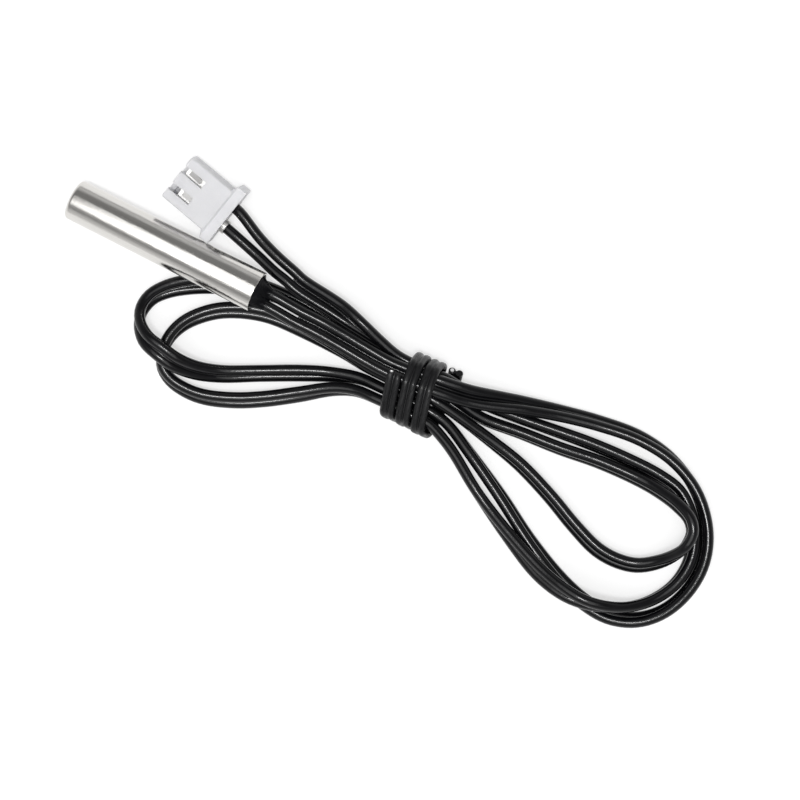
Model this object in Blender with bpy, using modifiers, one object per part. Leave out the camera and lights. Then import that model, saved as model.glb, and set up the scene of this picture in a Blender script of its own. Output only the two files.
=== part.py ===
"""Bead thermistor potted in a steel sleeve, with its tied twin lead and two-way connector.

Metres, +Z up. The part lies on the plane z = 0. +X runs from the sleeve's closed tip to its
mouth, and the origin is under the middle of the sleeve and its potting.
"""

import math

import bmesh
import bpy
import numpy as np
from mathutils import Matrix, Vector

MM = 0.001

# Clearance between pieces that touch, and the floor under which nothing reaches
FIT = 0.05 * MM

# Steel sleeve
SLEEVE_DIAMETER = 5.0 * MM
SLEEVE_WALL = 0.3 * MM
SLEEVE_LENGTH = 25.0 * MM
TIP_WALL = 0.4 * MM
TIP_ROUND = 0.45 * MM
RIM_ROUND = 0.08 * MM
SLEEVE_TILT = math.radians(6.6)

# Potting resin, and how far it climbs the cores beyond the mouth
MENISCUS = 1.9 * MM
MENISCUS_TOP_RADIUS = 1.55 * MM

# Thermistor bead and its two wires
BEAD_RADIUS = 0.9 * MM
BEAD_LENGTH = 2.4 * MM
BEAD_TIP_GAP = 0.5 * MM
BEAD_WIRE_RADIUS = 0.125 * MM
BEAD_WIRE_PITCH = 0.8 * MM
BEAD_POCKET = 0.6 * MM
WIRE_POCKET_FIT = 0.075 * MM
TUBING_RADIUS = 0.35 * MM
TUBING_BORE = 0.2 * MM
TUBING_END_GAP = 0.25 * MM

# Solder joints between the bead's wires and the lead's conductors
JOINT_START = 12.0 * MM
JOINT_LENGTH = 1.7 * MM
JOINT_RADIUS = 0.45 * MM
JOINT_NECK = 0.36 * MM
JOINT_POCKET = 0.75 * MM

# Twin lead: two insulated cores side by side with a thin web between them
CORE_RADIUS = 0.67 * MM
CORE_PITCH = 1.49 * MM
WEB_HALF = 0.18 * MM
CONDUCTOR_RADIUS = 0.3 * MM
CONDUCTOR_POCKET = 0.8 * MM
CORE_START = 14.0 * MM
LEAD_OFFSET = -0.25 * MM
TAIL_SHRINK = 0.985
TAIL_OVERLAP = 1.5 * MM

# Twist tie: a flat plastic ribbon of two ridges, with a steel wire in one of them
TIE_RIDGE_RADIUS = 0.4 * MM
TIE_RIDGE_PITCH = 0.83 * MM
TIE_WAIST = 0.29 * MM
TIE_GAP = 0.1 * MM
TIE_WIRE_RADIUS = 0.23 * MM
TIE_PITCH = 1.88 * MM
TIE_START_ALONG = -1.7 * MM
TIE_LEAN = 0.72 * MM
TIE_START_ANGLE = 75
TIE_END_ANGLE = 1075
TIE_STEP_ANGLE = 15
TIE_THICKNESS = 2 * TIE_RIDGE_RADIUS

# Where the tie holds the bundle, in the plan of the lead
TIE_CENTRE = (1.26, 1.32)
TIE_SLOPE = math.radians(-22)

# Connector housing and its two crimp contacts
CIRCUIT_PITCH = 2.5 * MM
PLUG_LENGTH = 7.95 * MM
PLUG_WIDTH = 5.9 * MM
PLUG_HEIGHT = 4.3 * MM
PLUG_EDGE = 0.25 * MM
FLANGE_LENGTH = 1.2 * MM
FLANGE_RAMP = 0.6 * MM
FLANGE_WIDTH = 7.6 * MM
FLANGE_BELOW = 0.7 * MM
FLANGE_ABOVE = 0.2 * MM
CAVITY_WIDTH = 2.0 * MM
CAVITY_HEIGHT = 2.7 * MM
FRONT_WALL = 0.7 * MM
PIN_OPENING_WIDTH = 1.3 * MM
PIN_OPENING_HEIGHT = 1.5 * MM
WINDOW_WIDTH = 0.95 * MM
WINDOW_LENGTH = 3.6 * MM
HOUSING_ROLL = math.radians(9)
HOUSING_PLAN = (-20.58, 21.95)
HOUSING_HEADING = math.radians(139.8)

CONTACT_METAL = 0.2 * MM
CONTACT_BOX_WIDTH = 1.6 * MM
CONTACT_BOX_HEIGHT = 1.8 * MM
CONTACT_BOX_LENGTH = 3.2 * MM
CONTACT_LENGTH = 7.05 * MM
CONTACT_START = 0.15 * MM
CONTACT_SETBACK = {"a": 0.0, "b": 0.8 * MM}
LANCE_RISE = {"a": 0.85 * MM, "b": 0.32 * MM}
LANCE_WIDTH = 0.6 * MM
LANCE_LENGTH = 1.9 * MM
GRIP_LENGTH = 1.2 * MM
GRIP_WALL = 0.15 * MM
CRIMP_LENGTH = 0.95 * MM
CRIMP_START = 2.2 * MM
CRIMP_RADIUS = 0.55 * MM
CRIMP_FOOT_WIDTH = 0.7 * MM
STRANDS_END = 3.45 * MM

# The lead's plan is turned by this much to bring the sleeve onto X
PLAN_TURN = math.radians(27)
PLAN_ORIGIN = (-27.28, 18.11)

ROUND_STEPS = 40
SMALL_STEPS = 12
CORE_STEPS = 9
ROUTE_STEPS = 24
ROUTE_POINTS = 110
BEND_WEIGHT = 30.0 * MM
ROLL_WEIGHT = 8.0 * MM

COLLECTION_NAME = "bead_thermistor"
CUTTER_COLLECTION_NAME = "cutters"


def at_tie(along, lateral, lift, roll):
    """A route point from its place in the tie: along its axis and across it, in millimetres."""
    turn_cos, turn_sin = math.cos(TIE_SLOPE), math.sin(TIE_SLOPE)
    across = TIE_CENTRE[0] + along * turn_cos - lateral * turn_sin
    up = TIE_CENTRE[1] + along * turn_sin + lateral * turn_cos
    return (across, up, lift, roll)


# Route of the twin lead from the sleeve to the connector, in millimetres and degrees: across and
# up in the plan, lift of its underside above the floor, and roll (0 flat, 90 on edge).
LEAD_FROM_SLEEVE = [
    (-12.12, 9.90, 4.81, 0),
    (-9.61, 8.63, 4.72, 2),
    (-6.65, 6.94, 4.41, 6),
    (-3.65, 5.15, 4.20, 13),
    at_tie(-3.05, 1.38, 4.12, 21),
    at_tie(3.18, 1.53, 4.35, 10),
]
OUTER_RIGHT_LOOP = [
    (8.47, 0.40, 3.67, 4),
    (12.08, -0.26, 2.52, 27),
    (14.53, -0.63, 1.77, 43),
    (19.32, -1.61, 0.49, 58),
    (24.05, -2.84, 0.03, 63),
    (28.89, -4.61, 0, 68),
    (32.80, -7.26, 0, 80),
    (35.63, -11.01, 0, 92),
    (36.90, -15.53, 0, 97),
    (36.55, -19.42, 0, 97),
    (34.76, -22.79, 0, 99),
    (31.83, -25.38, 0, 103),
    (28.56, -26.44, 0, 110),
    (25.19, -26.01, 0, 118),
    (22.21, -24.33, 0, 119),
    (19.29, -21.62, 0, 114),
    (15.63, -17.00, 0, 108),
    (12.06, -11.55, 0, 104),
    at_tie(9.45, -4.46, 0.25, 95),
    at_tie(5.62, -2.24, 0.88, 90),
    at_tie(3.08, -1.58, 1.09, 91),
    at_tie(-3.19, -1.18, 0.83, 90),
]
OUTER_LEFT_LOOP = [
    at_tie(-6.19, -1.12, 0.32, 83),
    (-8.54, 3.10, 0, 68),
    (-12.14, 3.24, 0, 61),
    (-16.87, 3.20, 0, 61),
    (-21.64, 3.15, 0.39, 55),
    (-24.63, 3.60, 1.51, 46),
    (-27.03, 4.61, 2.76, 38),
    (-28.85, 5.95, 3.07, 38),
    (-30.32, 7.21, 2.62, 50),
    (-31.13, 8.75, 1.65, 72),
    (-31.25, 10.19, 0.78, 91),
    (-30.84, 11.30, 0.35, 105),
    (-29.81, 12.49, 0.11, 116),
    (-27.88, 13.41, 0, 128),
    (-25.19, 13.94, 0, 140),
    (-22.21, 14.09, 0, 150),
    (-19.22, 13.90, 0, 146),
    (-16.53, 13.33, 0, 133),
    (-12.00, 11.55, 0, 112),
    at_tie(-11.79, 3.87, 0, 98),
    at_tie(-8.98, 2.95, 0.03, 90),
    at_tie(-5.66, 1.98, 0.32, 90),
    at_tie(-2.93, 1.60, 0.84, 90),
    at_tie(3.27, 1.19, 1.14, 90),
]
INNER_RIGHT_LOOP = [
    at_tie(5.90, 0.71, 0.83, 91),
    (9.91, -2.22, 0.26, 95),
    (14.53, -3.96, 0.06, 98),
    (19.27, -5.84, 0.06, 101),
    (24.00, -7.48, 0, 103),
    (28.80, -9.63, 0.25, 104),
    (31.33, -11.11, 1.07, 104),
    (33.39, -12.74, 2.38, 104),
    (34.62, -14.25, 3.05, 98),
    (34.92, -15.78, 3.10, 93),
    (34.30, -17.25, 2.78, 89),
    (32.91, -18.56, 1.60, 78),
    (30.86, -19.52, 0.54, 69),
    (28.50, -19.89, 0.06, 67),
    (26.10, -19.33, 0, 67),
    (23.71, -17.98, 0, 68),
    (21.07, -15.28, 0, 71),
    (18.01, -11.57, 0.05, 73),
    (14.44, -7.80, 0.17, 75),
    (10.91, -4.91, 0.47, 81),
    at_tie(5.99, -0.75, 1.49, 89),
    at_tie(3.27, -0.22, 1.88, 91),
    at_tie(-3.14, 0.22, 1.58, 90),
]
INNER_LEFT_LOOP = [
    at_tie(-5.84, 0.48, 0.88, 88),
    at_tie(-9.10, 1.07, 0.29, 82),
    (-12.07, 8.61, 0.08, 67),
    (-15.61, 10.15, 0.03, 63),
    (-18.66, 10.76, 0, 62),
    (-21.64, 10.76, 0, 64),
    (-24.05, 10.18, 0, 67),
    (-26.06, 9.21, 0, 73),
    (-27.60, 7.78, 0, 82),
    (-28.55, 5.95, 0, 90),
    (-28.63, 4.08, 0, 97),
    (-27.61, 2.44, 0, 104),
    (-25.69, 1.13, 0, 110),
    (-23.49, 0.35, 0, 114),
    (-19.87, -0.03, 0.02, 116),
    (-16.35, 0.12, 0.04, 116),
    (-12.25, 0.66, 0.10, 114),
    (-8.08, 1.31, 0.34, 105),
    at_tie(-6.05, -2.65, 0.76, 96),
    at_tie(-3.44, -2.61, 1.44, 90),
    at_tie(2.36, -2.97, 1.88, 92),
]
MIDDLE_RIGHT_LOOP = [
    at_tie(3.63, -3.05, 1.80, 89),
    at_tie(6.93, -4.71, 1.08, 90),
    (9.29, -11.10, 0.39, 90),
    (13.05, -16.31, 0.98, 108),
    (16.65, -20.60, 1.91, 128),
    (19.41, -22.83, 2.68, 126),
    (21.82, -24.07, 2.90, 111),
    (24.51, -24.73, 2.42, 99),
    (27.60, -24.81, 1.13, 94),
    (30.62, -23.92, 0.21, 90),
    (33.22, -22.02, 0, 87),
    (34.86, -19.33, 0, 83),
    (35.34, -16.30, 0, 82),
    (34.81, -13.22, 0, 85),
    (33.56, -10.90, 0, 83),
    (31.16, -9.10, 0, 79),
    (27.64, -7.27, 0, 79),
    (22.85, -5.22, 0, 79),
    (18.16, -3.51, 0, 83),
    (13.46, -1.83, 0.03, 86),
    at_tie(8.84, 1.67, 0.29, 86),
    at_tie(6.02, 2.31, 0.78, 89),
    at_tie(3.38, 2.76, 1.23, 90),
    at_tie(-2.66, 3.05, 1.44, 89),
]
LEAD_TO_CONNECTOR = [
    at_tie(-5.46, 3.74, 1.91, 75),
    at_tie(-8.82, 4.76, 2.71, 47),
    at_tie(-11.72, 5.56, 2.94, 15),
    (-12.00, 13.76, 2.87, 0),
    (-13.08, 14.76, 2.88, 0),
]
ROUTE = (
    LEAD_FROM_SLEEVE
    + OUTER_RIGHT_LOOP
    + OUTER_LEFT_LOOP
    + INNER_RIGHT_LOOP
    + INNER_LEFT_LOOP
    + MIDDLE_RIGHT_LOOP
    + LEAD_TO_CONNECTOR
)

# The two single cores between the end of the web and the connector, in plan millimetres
CORE_ROUTES = {
    "a": [(-14.62, 17.12, 3.55), (-16.83, 19.42, 3.45)],
    "b": [(-15.10, 15.43, 3.4), (-16.92, 17.16, 3.2)],
}


def clear_scene():
    for obj in list(bpy.data.objects):
        bpy.data.objects.remove(obj, do_unlink=True)


def new_collection(name):
    collection = bpy.data.collections.new(name)
    bpy.context.scene.collection.children.link(collection)
    return collection


clear_scene()
PARTS = new_collection(COLLECTION_NAME)
CUTTERS = new_collection(CUTTER_COLLECTION_NAME)


def new_material(name, colour, roughness, metallic=0.0):
    material = bpy.data.materials.new(name)
    material.use_nodes = True
    shader = material.node_tree.nodes["Principled BSDF"]
    shader.inputs["Base Color"].default_value = (*colour, 1.0)
    shader.inputs["Roughness"].default_value = roughness
    shader.inputs["Metallic"].default_value = metallic
    material.diffuse_color = (*colour, 1.0)
    return material


STEEL = new_material("polished_steel", (0.62, 0.61, 0.58), 0.12, 1.0)
RESIN = new_material("black_resin", (0.012, 0.012, 0.013), 0.15)
BEAD_GLASS = new_material("bead_glass", (0.30, 0.09, 0.04), 0.2)
BEAD_WIRE = new_material("bead_wire", (0.75, 0.73, 0.70), 0.3, 1.0)
TUBING = new_material("clear_tubing", (0.75, 0.72, 0.62), 0.5)
SOLDER = new_material("solder", (0.60, 0.60, 0.61), 0.3, 1.0)
STRANDS = new_material("tinned_strands", (0.66, 0.65, 0.63), 0.35, 1.0)
LEAD_PVC = new_material("lead_pvc", (0.014, 0.014, 0.016), 0.3)
HOUSING_NYLON = new_material("natural_nylon", (0.80, 0.80, 0.82), 0.45)
CONTACT_TIN = new_material("tinned_contact", (0.78, 0.77, 0.74), 0.25, 1.0)
TIE_PLASTIC = new_material("tie_plastic", (0.03, 0.03, 0.032), 0.55)
TIE_STEEL = new_material("tie_steel", (0.72, 0.72, 0.72), 0.3, 1.0)


def add_object(name, data, material=None, parent=None):
    """A part with a material, or a hidden cutter without one."""
    obj = bpy.data.objects.new(name, data)
    if material:
        data.materials.append(material)
        PARTS.objects.link(obj)
    else:
        CUTTERS.objects.link(obj)
        obj.hide_render = True
        obj.display_type = "WIRE"
    obj.parent = parent
    return obj


def add_frame(name, place, parent=None):
    """An empty that places other objects."""
    frame = bpy.data.objects.new(name, None)
    frame.empty_display_size = 2 * MM
    PARTS.objects.link(frame)
    frame.parent = parent
    frame.matrix_local = place
    return frame


def smooth(mesh):
    mesh.shade_smooth()
    mesh.set_sharp_from_angle(angle=math.radians(35))


def turned(name, profile, steps, material=None, parent=None, closed=False):
    """A turned solid about its local Z, from (radius, height) points that run down its outer side."""
    mesh = bpy.data.meshes.new(name)
    edges = [(i, i + 1) for i in range(len(profile) - 1)]
    if closed:
        edges.append((len(profile) - 1, 0))
    mesh.from_pydata([(radius, 0, height) for radius, height in profile], edges, [])
    obj = add_object(name, mesh, material, parent)
    screw = obj.modifiers.new("turn", "SCREW")
    screw.axis = "Z"
    screw.steps = steps
    screw.render_steps = steps
    screw.use_merge_vertices = True
    screw.merge_threshold = 1e-6
    screw.use_smooth_shade = True
    return obj


def rod_profile(radius, bottom, top):
    return [(0, top), (radius, top), (radius, bottom), (0, bottom)]


def ring_profile(inner, outer, bottom, top):
    return [(outer, top), (outer, bottom), (inner, bottom), (inner, top)]


def rod(name, radius, bottom, top, material=None, parent=None):
    return turned(name, rod_profile(radius, bottom, top), SMALL_STEPS, material, parent)


def box(name, low, high, material=None, parent=None):
    """A box between two corners."""
    mesh = bpy.data.meshes.new(name)
    cube = bmesh.new()
    bmesh.ops.create_cube(cube, size=1)
    low, high = Vector(low), Vector(high)
    size = high - low
    bmesh.ops.scale(cube, vec=size, verts=cube.verts)
    bmesh.ops.translate(cube, vec=(low + high) / 2, verts=cube.verts)
    cube.to_mesh(mesh)
    cube.free()
    return add_object(name, mesh, material, parent)


def combine(target, other, operation):
    boolean = target.modifiers.new(other.name, "BOOLEAN")
    boolean.operation = operation
    boolean.object = other


def cut(target, *cutters):
    for cutter in cutters:
        combine(target, cutter, "DIFFERENCE")


def unite(target, *others):
    for other in others:
        combine(target, other, "UNION")


def quarter(centre_radius, centre_height, radius, start, end, steps):
    """Points of an arc of a profile, from one angle to another, in degrees."""
    points = []
    for i in range(steps + 1):
        angle = math.radians(start + (end - start) * i / steps)
        across = centre_radius + radius * math.cos(angle)
        points.append((across, centre_height + radius * math.sin(angle)))
    return points


# Frame of the probe: local Z runs from the sleeve's tip to its mouth, local Y is the part's Y
SLEEVE_RADIUS = SLEEVE_DIAMETER / 2
BORE_RADIUS = SLEEVE_RADIUS - SLEEVE_WALL
TILT_COS, TILT_SIN = math.cos(SLEEVE_TILT), math.sin(SLEEVE_TILT)
TIP_HEIGHT = (SLEEVE_RADIUS - TIP_ROUND) * TILT_COS + TIP_ROUND * (1 - TILT_SIN)
BACK_REACH = TIP_ROUND * (TILT_COS - 1) - (SLEEVE_RADIUS - TIP_ROUND) * TILT_SIN
FRONT_REACH = (SLEEVE_LENGTH + MENISCUS) * TILT_COS + MENISCUS_TOP_RADIUS * TILT_SIN
TIP_X = -(BACK_REACH + FRONT_REACH) / 2
PROBE_PLACE = Matrix.Translation((TIP_X, 0, TIP_HEIGHT)) @ Matrix.Rotation(
    math.pi / 2 - SLEEVE_TILT, 4, "Y"
)
PROBE = add_frame("probe_frame", PROBE_PLACE)


def build_sleeve():
    inner_round = TIP_ROUND - SLEEVE_WALL / 2
    profile = [(0, TIP_WALL)]
    profile += quarter(
        BORE_RADIUS - inner_round, TIP_WALL + inner_round, inner_round, -90, 0, 3
    )
    profile += [(BORE_RADIUS, SLEEVE_LENGTH)]
    profile += quarter(
        SLEEVE_RADIUS - RIM_ROUND, SLEEVE_LENGTH - RIM_ROUND, RIM_ROUND, 90, 0, 2
    )
    profile += quarter(SLEEVE_RADIUS - TIP_ROUND, TIP_ROUND, TIP_ROUND, 0, -90, 5)
    profile += [(0, 0)]
    turned("probe_sleeve", profile, ROUND_STEPS, STEEL, PROBE)


def core_axis(side):
    """Distance of a core's axis from the sleeve's axis, inside the potting."""
    return LEAD_OFFSET + side * CORE_PITCH / 2


BEAD_BOTTOM = TIP_WALL + BEAD_TIP_GAP
BEAD_TOP = BEAD_BOTTOM + BEAD_LENGTH
WIRE_SPREAD = (CORE_PITCH - BEAD_WIRE_PITCH) / 2
WIRE_SLANT = math.atan2(WIRE_SPREAD, JOINT_START - BEAD_TOP)
SIDES = {"a": -1, "b": 1}


def bead_profile(radius, bottom, top):
    middle, half = (bottom + top) / 2, (top - bottom) / 2
    steps = 10
    profile = []
    for i in range(steps + 1):
        angle = math.pi / 2 - math.pi * i / steps
        profile.append((radius * math.cos(angle), middle + half * math.sin(angle)))
    profile[0] = (0, top)
    profile[-1] = (0, bottom)
    return profile


def build_probe_inside():
    """The bead, its wires in their tubing, the solder joints and the potting cast round them."""
    off_axis = add_frame("bead_frame", Matrix.Translation((0, LEAD_OFFSET, 0)), PROBE)
    bead = turned(
        "thermistor_bead",
        bead_profile(BEAD_RADIUS, BEAD_BOTTOM, BEAD_TOP),
        SMALL_STEPS * 2,
        BEAD_GLASS,
        off_axis,
    )
    potting = build_potting()
    cut(
        potting,
        turned(
            "cut_bead",
            bead_profile(BEAD_RADIUS + FIT, BEAD_BOTTOM - FIT, BEAD_TOP + FIT),
            SMALL_STEPS * 2,
            parent=off_axis,
        ),
    )
    for letter, side in SIDES.items():
        start = LEAD_OFFSET + side * BEAD_WIRE_PITCH / 2
        slant = Matrix.Translation((0, start, BEAD_TOP)) @ Matrix.Rotation(
            -side * WIRE_SLANT, 4, "X"
        )
        wire_frame = add_frame(f"bead_wire_frame_{letter}", slant, PROBE)
        straight = Matrix.Translation((0, core_axis(side), 0))
        core_frame = add_frame(f"core_frame_{letter}", straight, PROBE)
        reach = (JOINT_START - BEAD_TOP) / math.cos(WIRE_SLANT)
        pocket = BEAD_WIRE_RADIUS + FIT
        wire_end = reach + JOINT_POCKET - FIT

        rod(
            f"bead_wire_{letter}",
            BEAD_WIRE_RADIUS,
            -BEAD_POCKET,
            wire_end,
            BEAD_WIRE,
            wire_frame,
        )
        cut(
            bead,
            rod(
                f"cut_bead_pocket_{letter}",
                pocket,
                -BEAD_POCKET - FIT,
                BEAD_LENGTH,
                parent=wire_frame,
            ),
        )
        turned(
            f"wire_tubing_{letter}",
            ring_profile(
                TUBING_BORE, TUBING_RADIUS, TUBING_END_GAP, reach - TUBING_END_GAP
            ),
            SMALL_STEPS,
            TUBING,
            wire_frame,
            closed=True,
        )
        build_joint(letter, core_frame)
        cut(
            potting,
            rod(
                f"cut_wire_{letter}",
                TUBING_RADIUS + FIT,
                -BEAD_POCKET / 2,
                reach + JOINT_POCKET / 2,
                parent=wire_frame,
            ),
            turned(
                f"cut_core_{letter}",
                potting_core_profile(),
                SMALL_STEPS * 2,
                parent=core_frame,
            ),
        )


def build_joint(letter, frame):
    """A solder joint with the bead's wire in one end and the lead's strands in the other."""
    joint_end = JOINT_START + JOINT_LENGTH
    swell = JOINT_LENGTH / 4
    profile = [
        (0, joint_end),
        (JOINT_NECK + FIT, joint_end),
        (JOINT_RADIUS, joint_end - swell),
        (JOINT_RADIUS, JOINT_START + swell),
        (JOINT_NECK, JOINT_START),
        (0, JOINT_START),
    ]
    joint = turned(f"solder_joint_{letter}", profile, SMALL_STEPS, SOLDER, frame)
    cut(
        joint,
        rod(
            f"cut_joint_wire_{letter}",
            BEAD_WIRE_RADIUS + WIRE_POCKET_FIT,
            JOINT_START - JOINT_POCKET,
            JOINT_START + JOINT_POCKET,
            parent=frame,
        ),
        rod(
            f"cut_joint_strands_{letter}",
            CONDUCTOR_RADIUS + FIT,
            joint_end - JOINT_POCKET,
            joint_end + JOINT_POCKET,
            parent=frame,
        ),
    )
    rod(
        f"probe_strands_{letter}",
        CONDUCTOR_RADIUS,
        joint_end - JOINT_POCKET + FIT,
        CORE_START + CONDUCTOR_POCKET - FIT,
        STRANDS,
        frame,
    )


def potting_core_profile():
    """Outline of the hollow that a joint, its strands and a core leave in the potting."""
    joint_end = JOINT_START + JOINT_LENGTH
    top = SLEEVE_LENGTH + 2 * MENISCUS
    return [
        (0, top),
        (CORE_RADIUS + FIT, top),
        (CORE_RADIUS + FIT, CORE_START - FIT),
        (JOINT_RADIUS + FIT, CORE_START - FIT),
        (JOINT_RADIUS + FIT, joint_end),
        (JOINT_RADIUS + FIT, JOINT_START - FIT),
        (0, JOINT_START - FIT),
    ]


def build_potting():
    """The resin that fills the sleeve and climbs the cores in a hollow fillet at the mouth."""
    radius = BORE_RADIUS - FIT
    bottom = TIP_WALL + FIT
    foot_round = TIP_ROUND
    top = SLEEVE_LENGTH + MENISCUS
    profile = [(0, top)]
    steps = 6
    for i in range(steps + 1):
        fall = i / steps
        across = MENISCUS_TOP_RADIUS + (radius - MENISCUS_TOP_RADIUS) * fall**1.6
        profile.append((across, top - (MENISCUS - FIT) * fall))
    profile += quarter(radius - foot_round, bottom + foot_round, foot_round, 0, -90, 3)
    profile += [(0, bottom)]
    return turned("potting_resin", profile, ROUND_STEPS, RESIN, PROBE)


def smooth_line(points, steps):
    """Centripetal Catmull-Rom samples of rows whose first three columns are a place."""
    rows = np.array(points, float)
    rows = np.vstack([2 * rows[0] - rows[1], rows, 2 * rows[-1] - rows[-2]])
    knots = np.concatenate(
        [[0], np.cumsum(np.linalg.norm(np.diff(rows[:, :3], axis=0), axis=1) ** 0.5)]
    )
    samples = []
    for i in range(1, len(rows) - 2):
        t0, t1, t2, t3 = knots[i - 1 : i + 3]
        for step in range(steps):
            t = t1 + (t2 - t1) * step / steps
            a1 = ((t1 - t) * rows[i - 1] + (t - t0) * rows[i]) / (t1 - t0)
            a2 = ((t2 - t) * rows[i] + (t - t1) * rows[i + 1]) / (t2 - t1)
            a3 = ((t3 - t) * rows[i + 1] + (t - t2) * rows[i + 2]) / (t3 - t2)
            b1 = ((t2 - t) * a1 + (t - t0) * a2) / (t2 - t0)
            b2 = ((t3 - t) * a2 + (t - t1) * a3) / (t3 - t1)
            samples.append(((t2 - t) * b1 + (t - t1) * b2) / (t2 - t1))
    samples.append(rows[-2])
    return np.array(samples)


def on_plan(across, up):
    """Plan millimetres as the part's X and Y."""
    across, up = across - PLAN_ORIGIN[0], up - PLAN_ORIGIN[1]
    turn_cos, turn_sin = math.cos(PLAN_TURN), math.sin(PLAN_TURN)
    x = across * turn_cos - up * turn_sin
    y = across * turn_sin + up * turn_cos
    return x * MM, y * MM


class LeadLine:
    """The lead's smooth centre line, with the direction from its centre to its first core."""

    def __init__(self, route):
        samples = smooth_line(route, ROUTE_STEPS)
        self.roll = np.radians(samples[:, 3])
        x, y = on_plan(samples[:, 0], samples[:, 1])
        lift = np.maximum(samples[:, 2], 0) * MM
        z = lift + CORE_RADIUS + CORE_PITCH / 2 * np.abs(np.sin(self.roll)) + FIT / 5
        self.centre = np.stack([x, y, z], axis=1)
        steps = np.linalg.norm(np.diff(self.centre, axis=0), axis=1)
        self.length = np.concatenate([[0], np.cumsum(steps)])
        self.tangent = np.gradient(self.centre, self.length, axis=0)
        self.tangent /= np.linalg.norm(self.tangent, axis=1)[:, None]
        sideways = np.cross(self.tangent, [0, 0, 1])
        sideways /= np.linalg.norm(sideways, axis=1)[:, None]
        upwards = np.cross(sideways, self.tangent)
        self.to_core = (
            np.cos(self.roll)[:, None] * sideways + np.sin(self.roll)[:, None] * upwards
        )

    def core(self, side):
        """Centre line of one core: side 1 is the first, -1 the second."""
        return self.centre + side * CORE_PITCH / 2 * self.to_core

    def picked(self, count):
        """Indices of samples that lie closer together where the line bends or climbs."""
        turning = np.linalg.norm(np.diff(self.tangent, axis=0), axis=1)
        rolling = np.abs(np.diff(self.roll))
        cost = np.diff(self.length) + BEND_WEIGHT * turning + ROLL_WEIGHT * rolling
        total = np.concatenate([[0], np.cumsum(cost)])
        return np.searchsorted(total, np.linspace(0, total[-1], count) - 1e-9)


LEAD = LeadLine(ROUTE)


def ridged_outline(ridge_radius, pitch, waist_half, steps):
    """Outline of two round ridges side by side, joined by a flat web between them."""
    outline = []
    opening = math.degrees(math.asin(waist_half / ridge_radius))
    for side, start in ((1, opening - 180), (-1, opening)):
        for i in range(steps):
            angle = math.radians(start + (360 - 2 * opening) * i / (steps - 1))
            across = side * pitch / 2 + ridge_radius * math.cos(angle)
            outline.append((across, ridge_radius * math.sin(angle)))
    return outline


def poly_curve(name, points, tilts=None):
    """A curve object along straight runs between points, with filled ends."""
    curve = bpy.data.curves.new(name, "CURVE")
    curve.dimensions = "3D"
    curve.twist_mode = "Z_UP"
    curve.use_fill_caps = True
    spline = curve.splines.new("POLY")
    spline.points.add(len(points) - 1)
    for i, (point, place) in enumerate(zip(spline.points, points)):
        point.co = (*place, 1)
        if tilts is not None:
            point.tilt = tilts[i]
    obj = bpy.data.objects.new(name, curve)
    CUTTERS.objects.link(obj)
    obj.hide_render = True
    obj.display_type = "WIRE"
    return obj


def as_mesh(source, name, material=None):
    """The curve's tube as a closed mesh object; the curve is removed."""
    bpy.context.view_layer.update()
    graph = bpy.context.evaluated_depsgraph_get()
    mesh = bpy.data.meshes.new_from_object(source.evaluated_get(graph))
    mesh.name = name
    tube = bmesh.new()
    tube.from_mesh(mesh)
    bmesh.ops.remove_doubles(tube, verts=tube.verts, dist=1e-7)
    bmesh.ops.recalc_face_normals(tube, faces=tube.faces)
    tube.to_mesh(mesh)
    tube.free()
    place = source.matrix_world.copy()
    bpy.data.objects.remove(source)
    mesh.materials.clear()
    obj = add_object(name, mesh, material)
    obj.matrix_world = place
    smooth(mesh)
    return obj


def core_tube(name, points, radius, material=None):
    source = poly_curve(f"{name}_line", points)
    source.data.bevel_depth = radius
    source.data.bevel_resolution = 2
    return as_mesh(source, name, material)


def twin_tube():
    """The stretch of lead where the web still joins the cores."""
    section = bpy.data.curves.new("lead_section", "CURVE")
    section.dimensions = "2D"
    spline = section.splines.new("POLY")
    outline = ridged_outline(CORE_RADIUS, CORE_PITCH, WEB_HALF, CORE_STEPS)
    spline.points.add(len(outline) - 1)
    for point, (across, up) in zip(spline.points, outline):
        point.co = (across, up, 0, 1)
    spline.use_cyclic_u = True
    section_object = bpy.data.objects.new("lead_section", section)
    CUTTERS.objects.link(section_object)
    section_object.hide_render = True
    section_object.display_type = "WIRE"

    picked = LEAD.picked(ROUTE_POINTS)
    source = poly_curve("lead_line", LEAD.centre[picked], -LEAD.roll[picked])
    source.data.bevel_mode = "OBJECT"
    source.data.bevel_object = section_object
    lead = as_mesh(source, "twin_lead", LEAD_PVC)
    bpy.data.objects.remove(section_object)
    return lead


def housing_place():
    """Frame of the connector: local X points out of its mating end, local Z out of its window side."""
    roll_cos, roll_sin = math.cos(HOUSING_ROLL), math.sin(HOUSING_ROLL)
    flange_drop = FLANGE_WIDTH / 2 * roll_sin + (PLUG_HEIGHT / 2 + FLANGE_BELOW) * roll_cos
    plug_drop = PLUG_WIDTH / 2 * roll_sin + PLUG_HEIGHT / 2 * roll_cos
    pitch = math.atan2(flange_drop - plug_drop, PLUG_LENGTH - FLANGE_LENGTH)
    height = flange_drop * math.cos(pitch) + FLANGE_LENGTH * math.sin(pitch)
    x, y = on_plan(*HOUSING_PLAN)
    return (
        Matrix.Translation((x, y, height + FIT / 5))
        @ Matrix.Rotation(HOUSING_HEADING + PLAN_TURN, 4, "Z")
        @ Matrix.Rotation(pitch, 4, "Y")
        @ Matrix.Rotation(-HOUSING_ROLL, 4, "X")
    )


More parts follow.
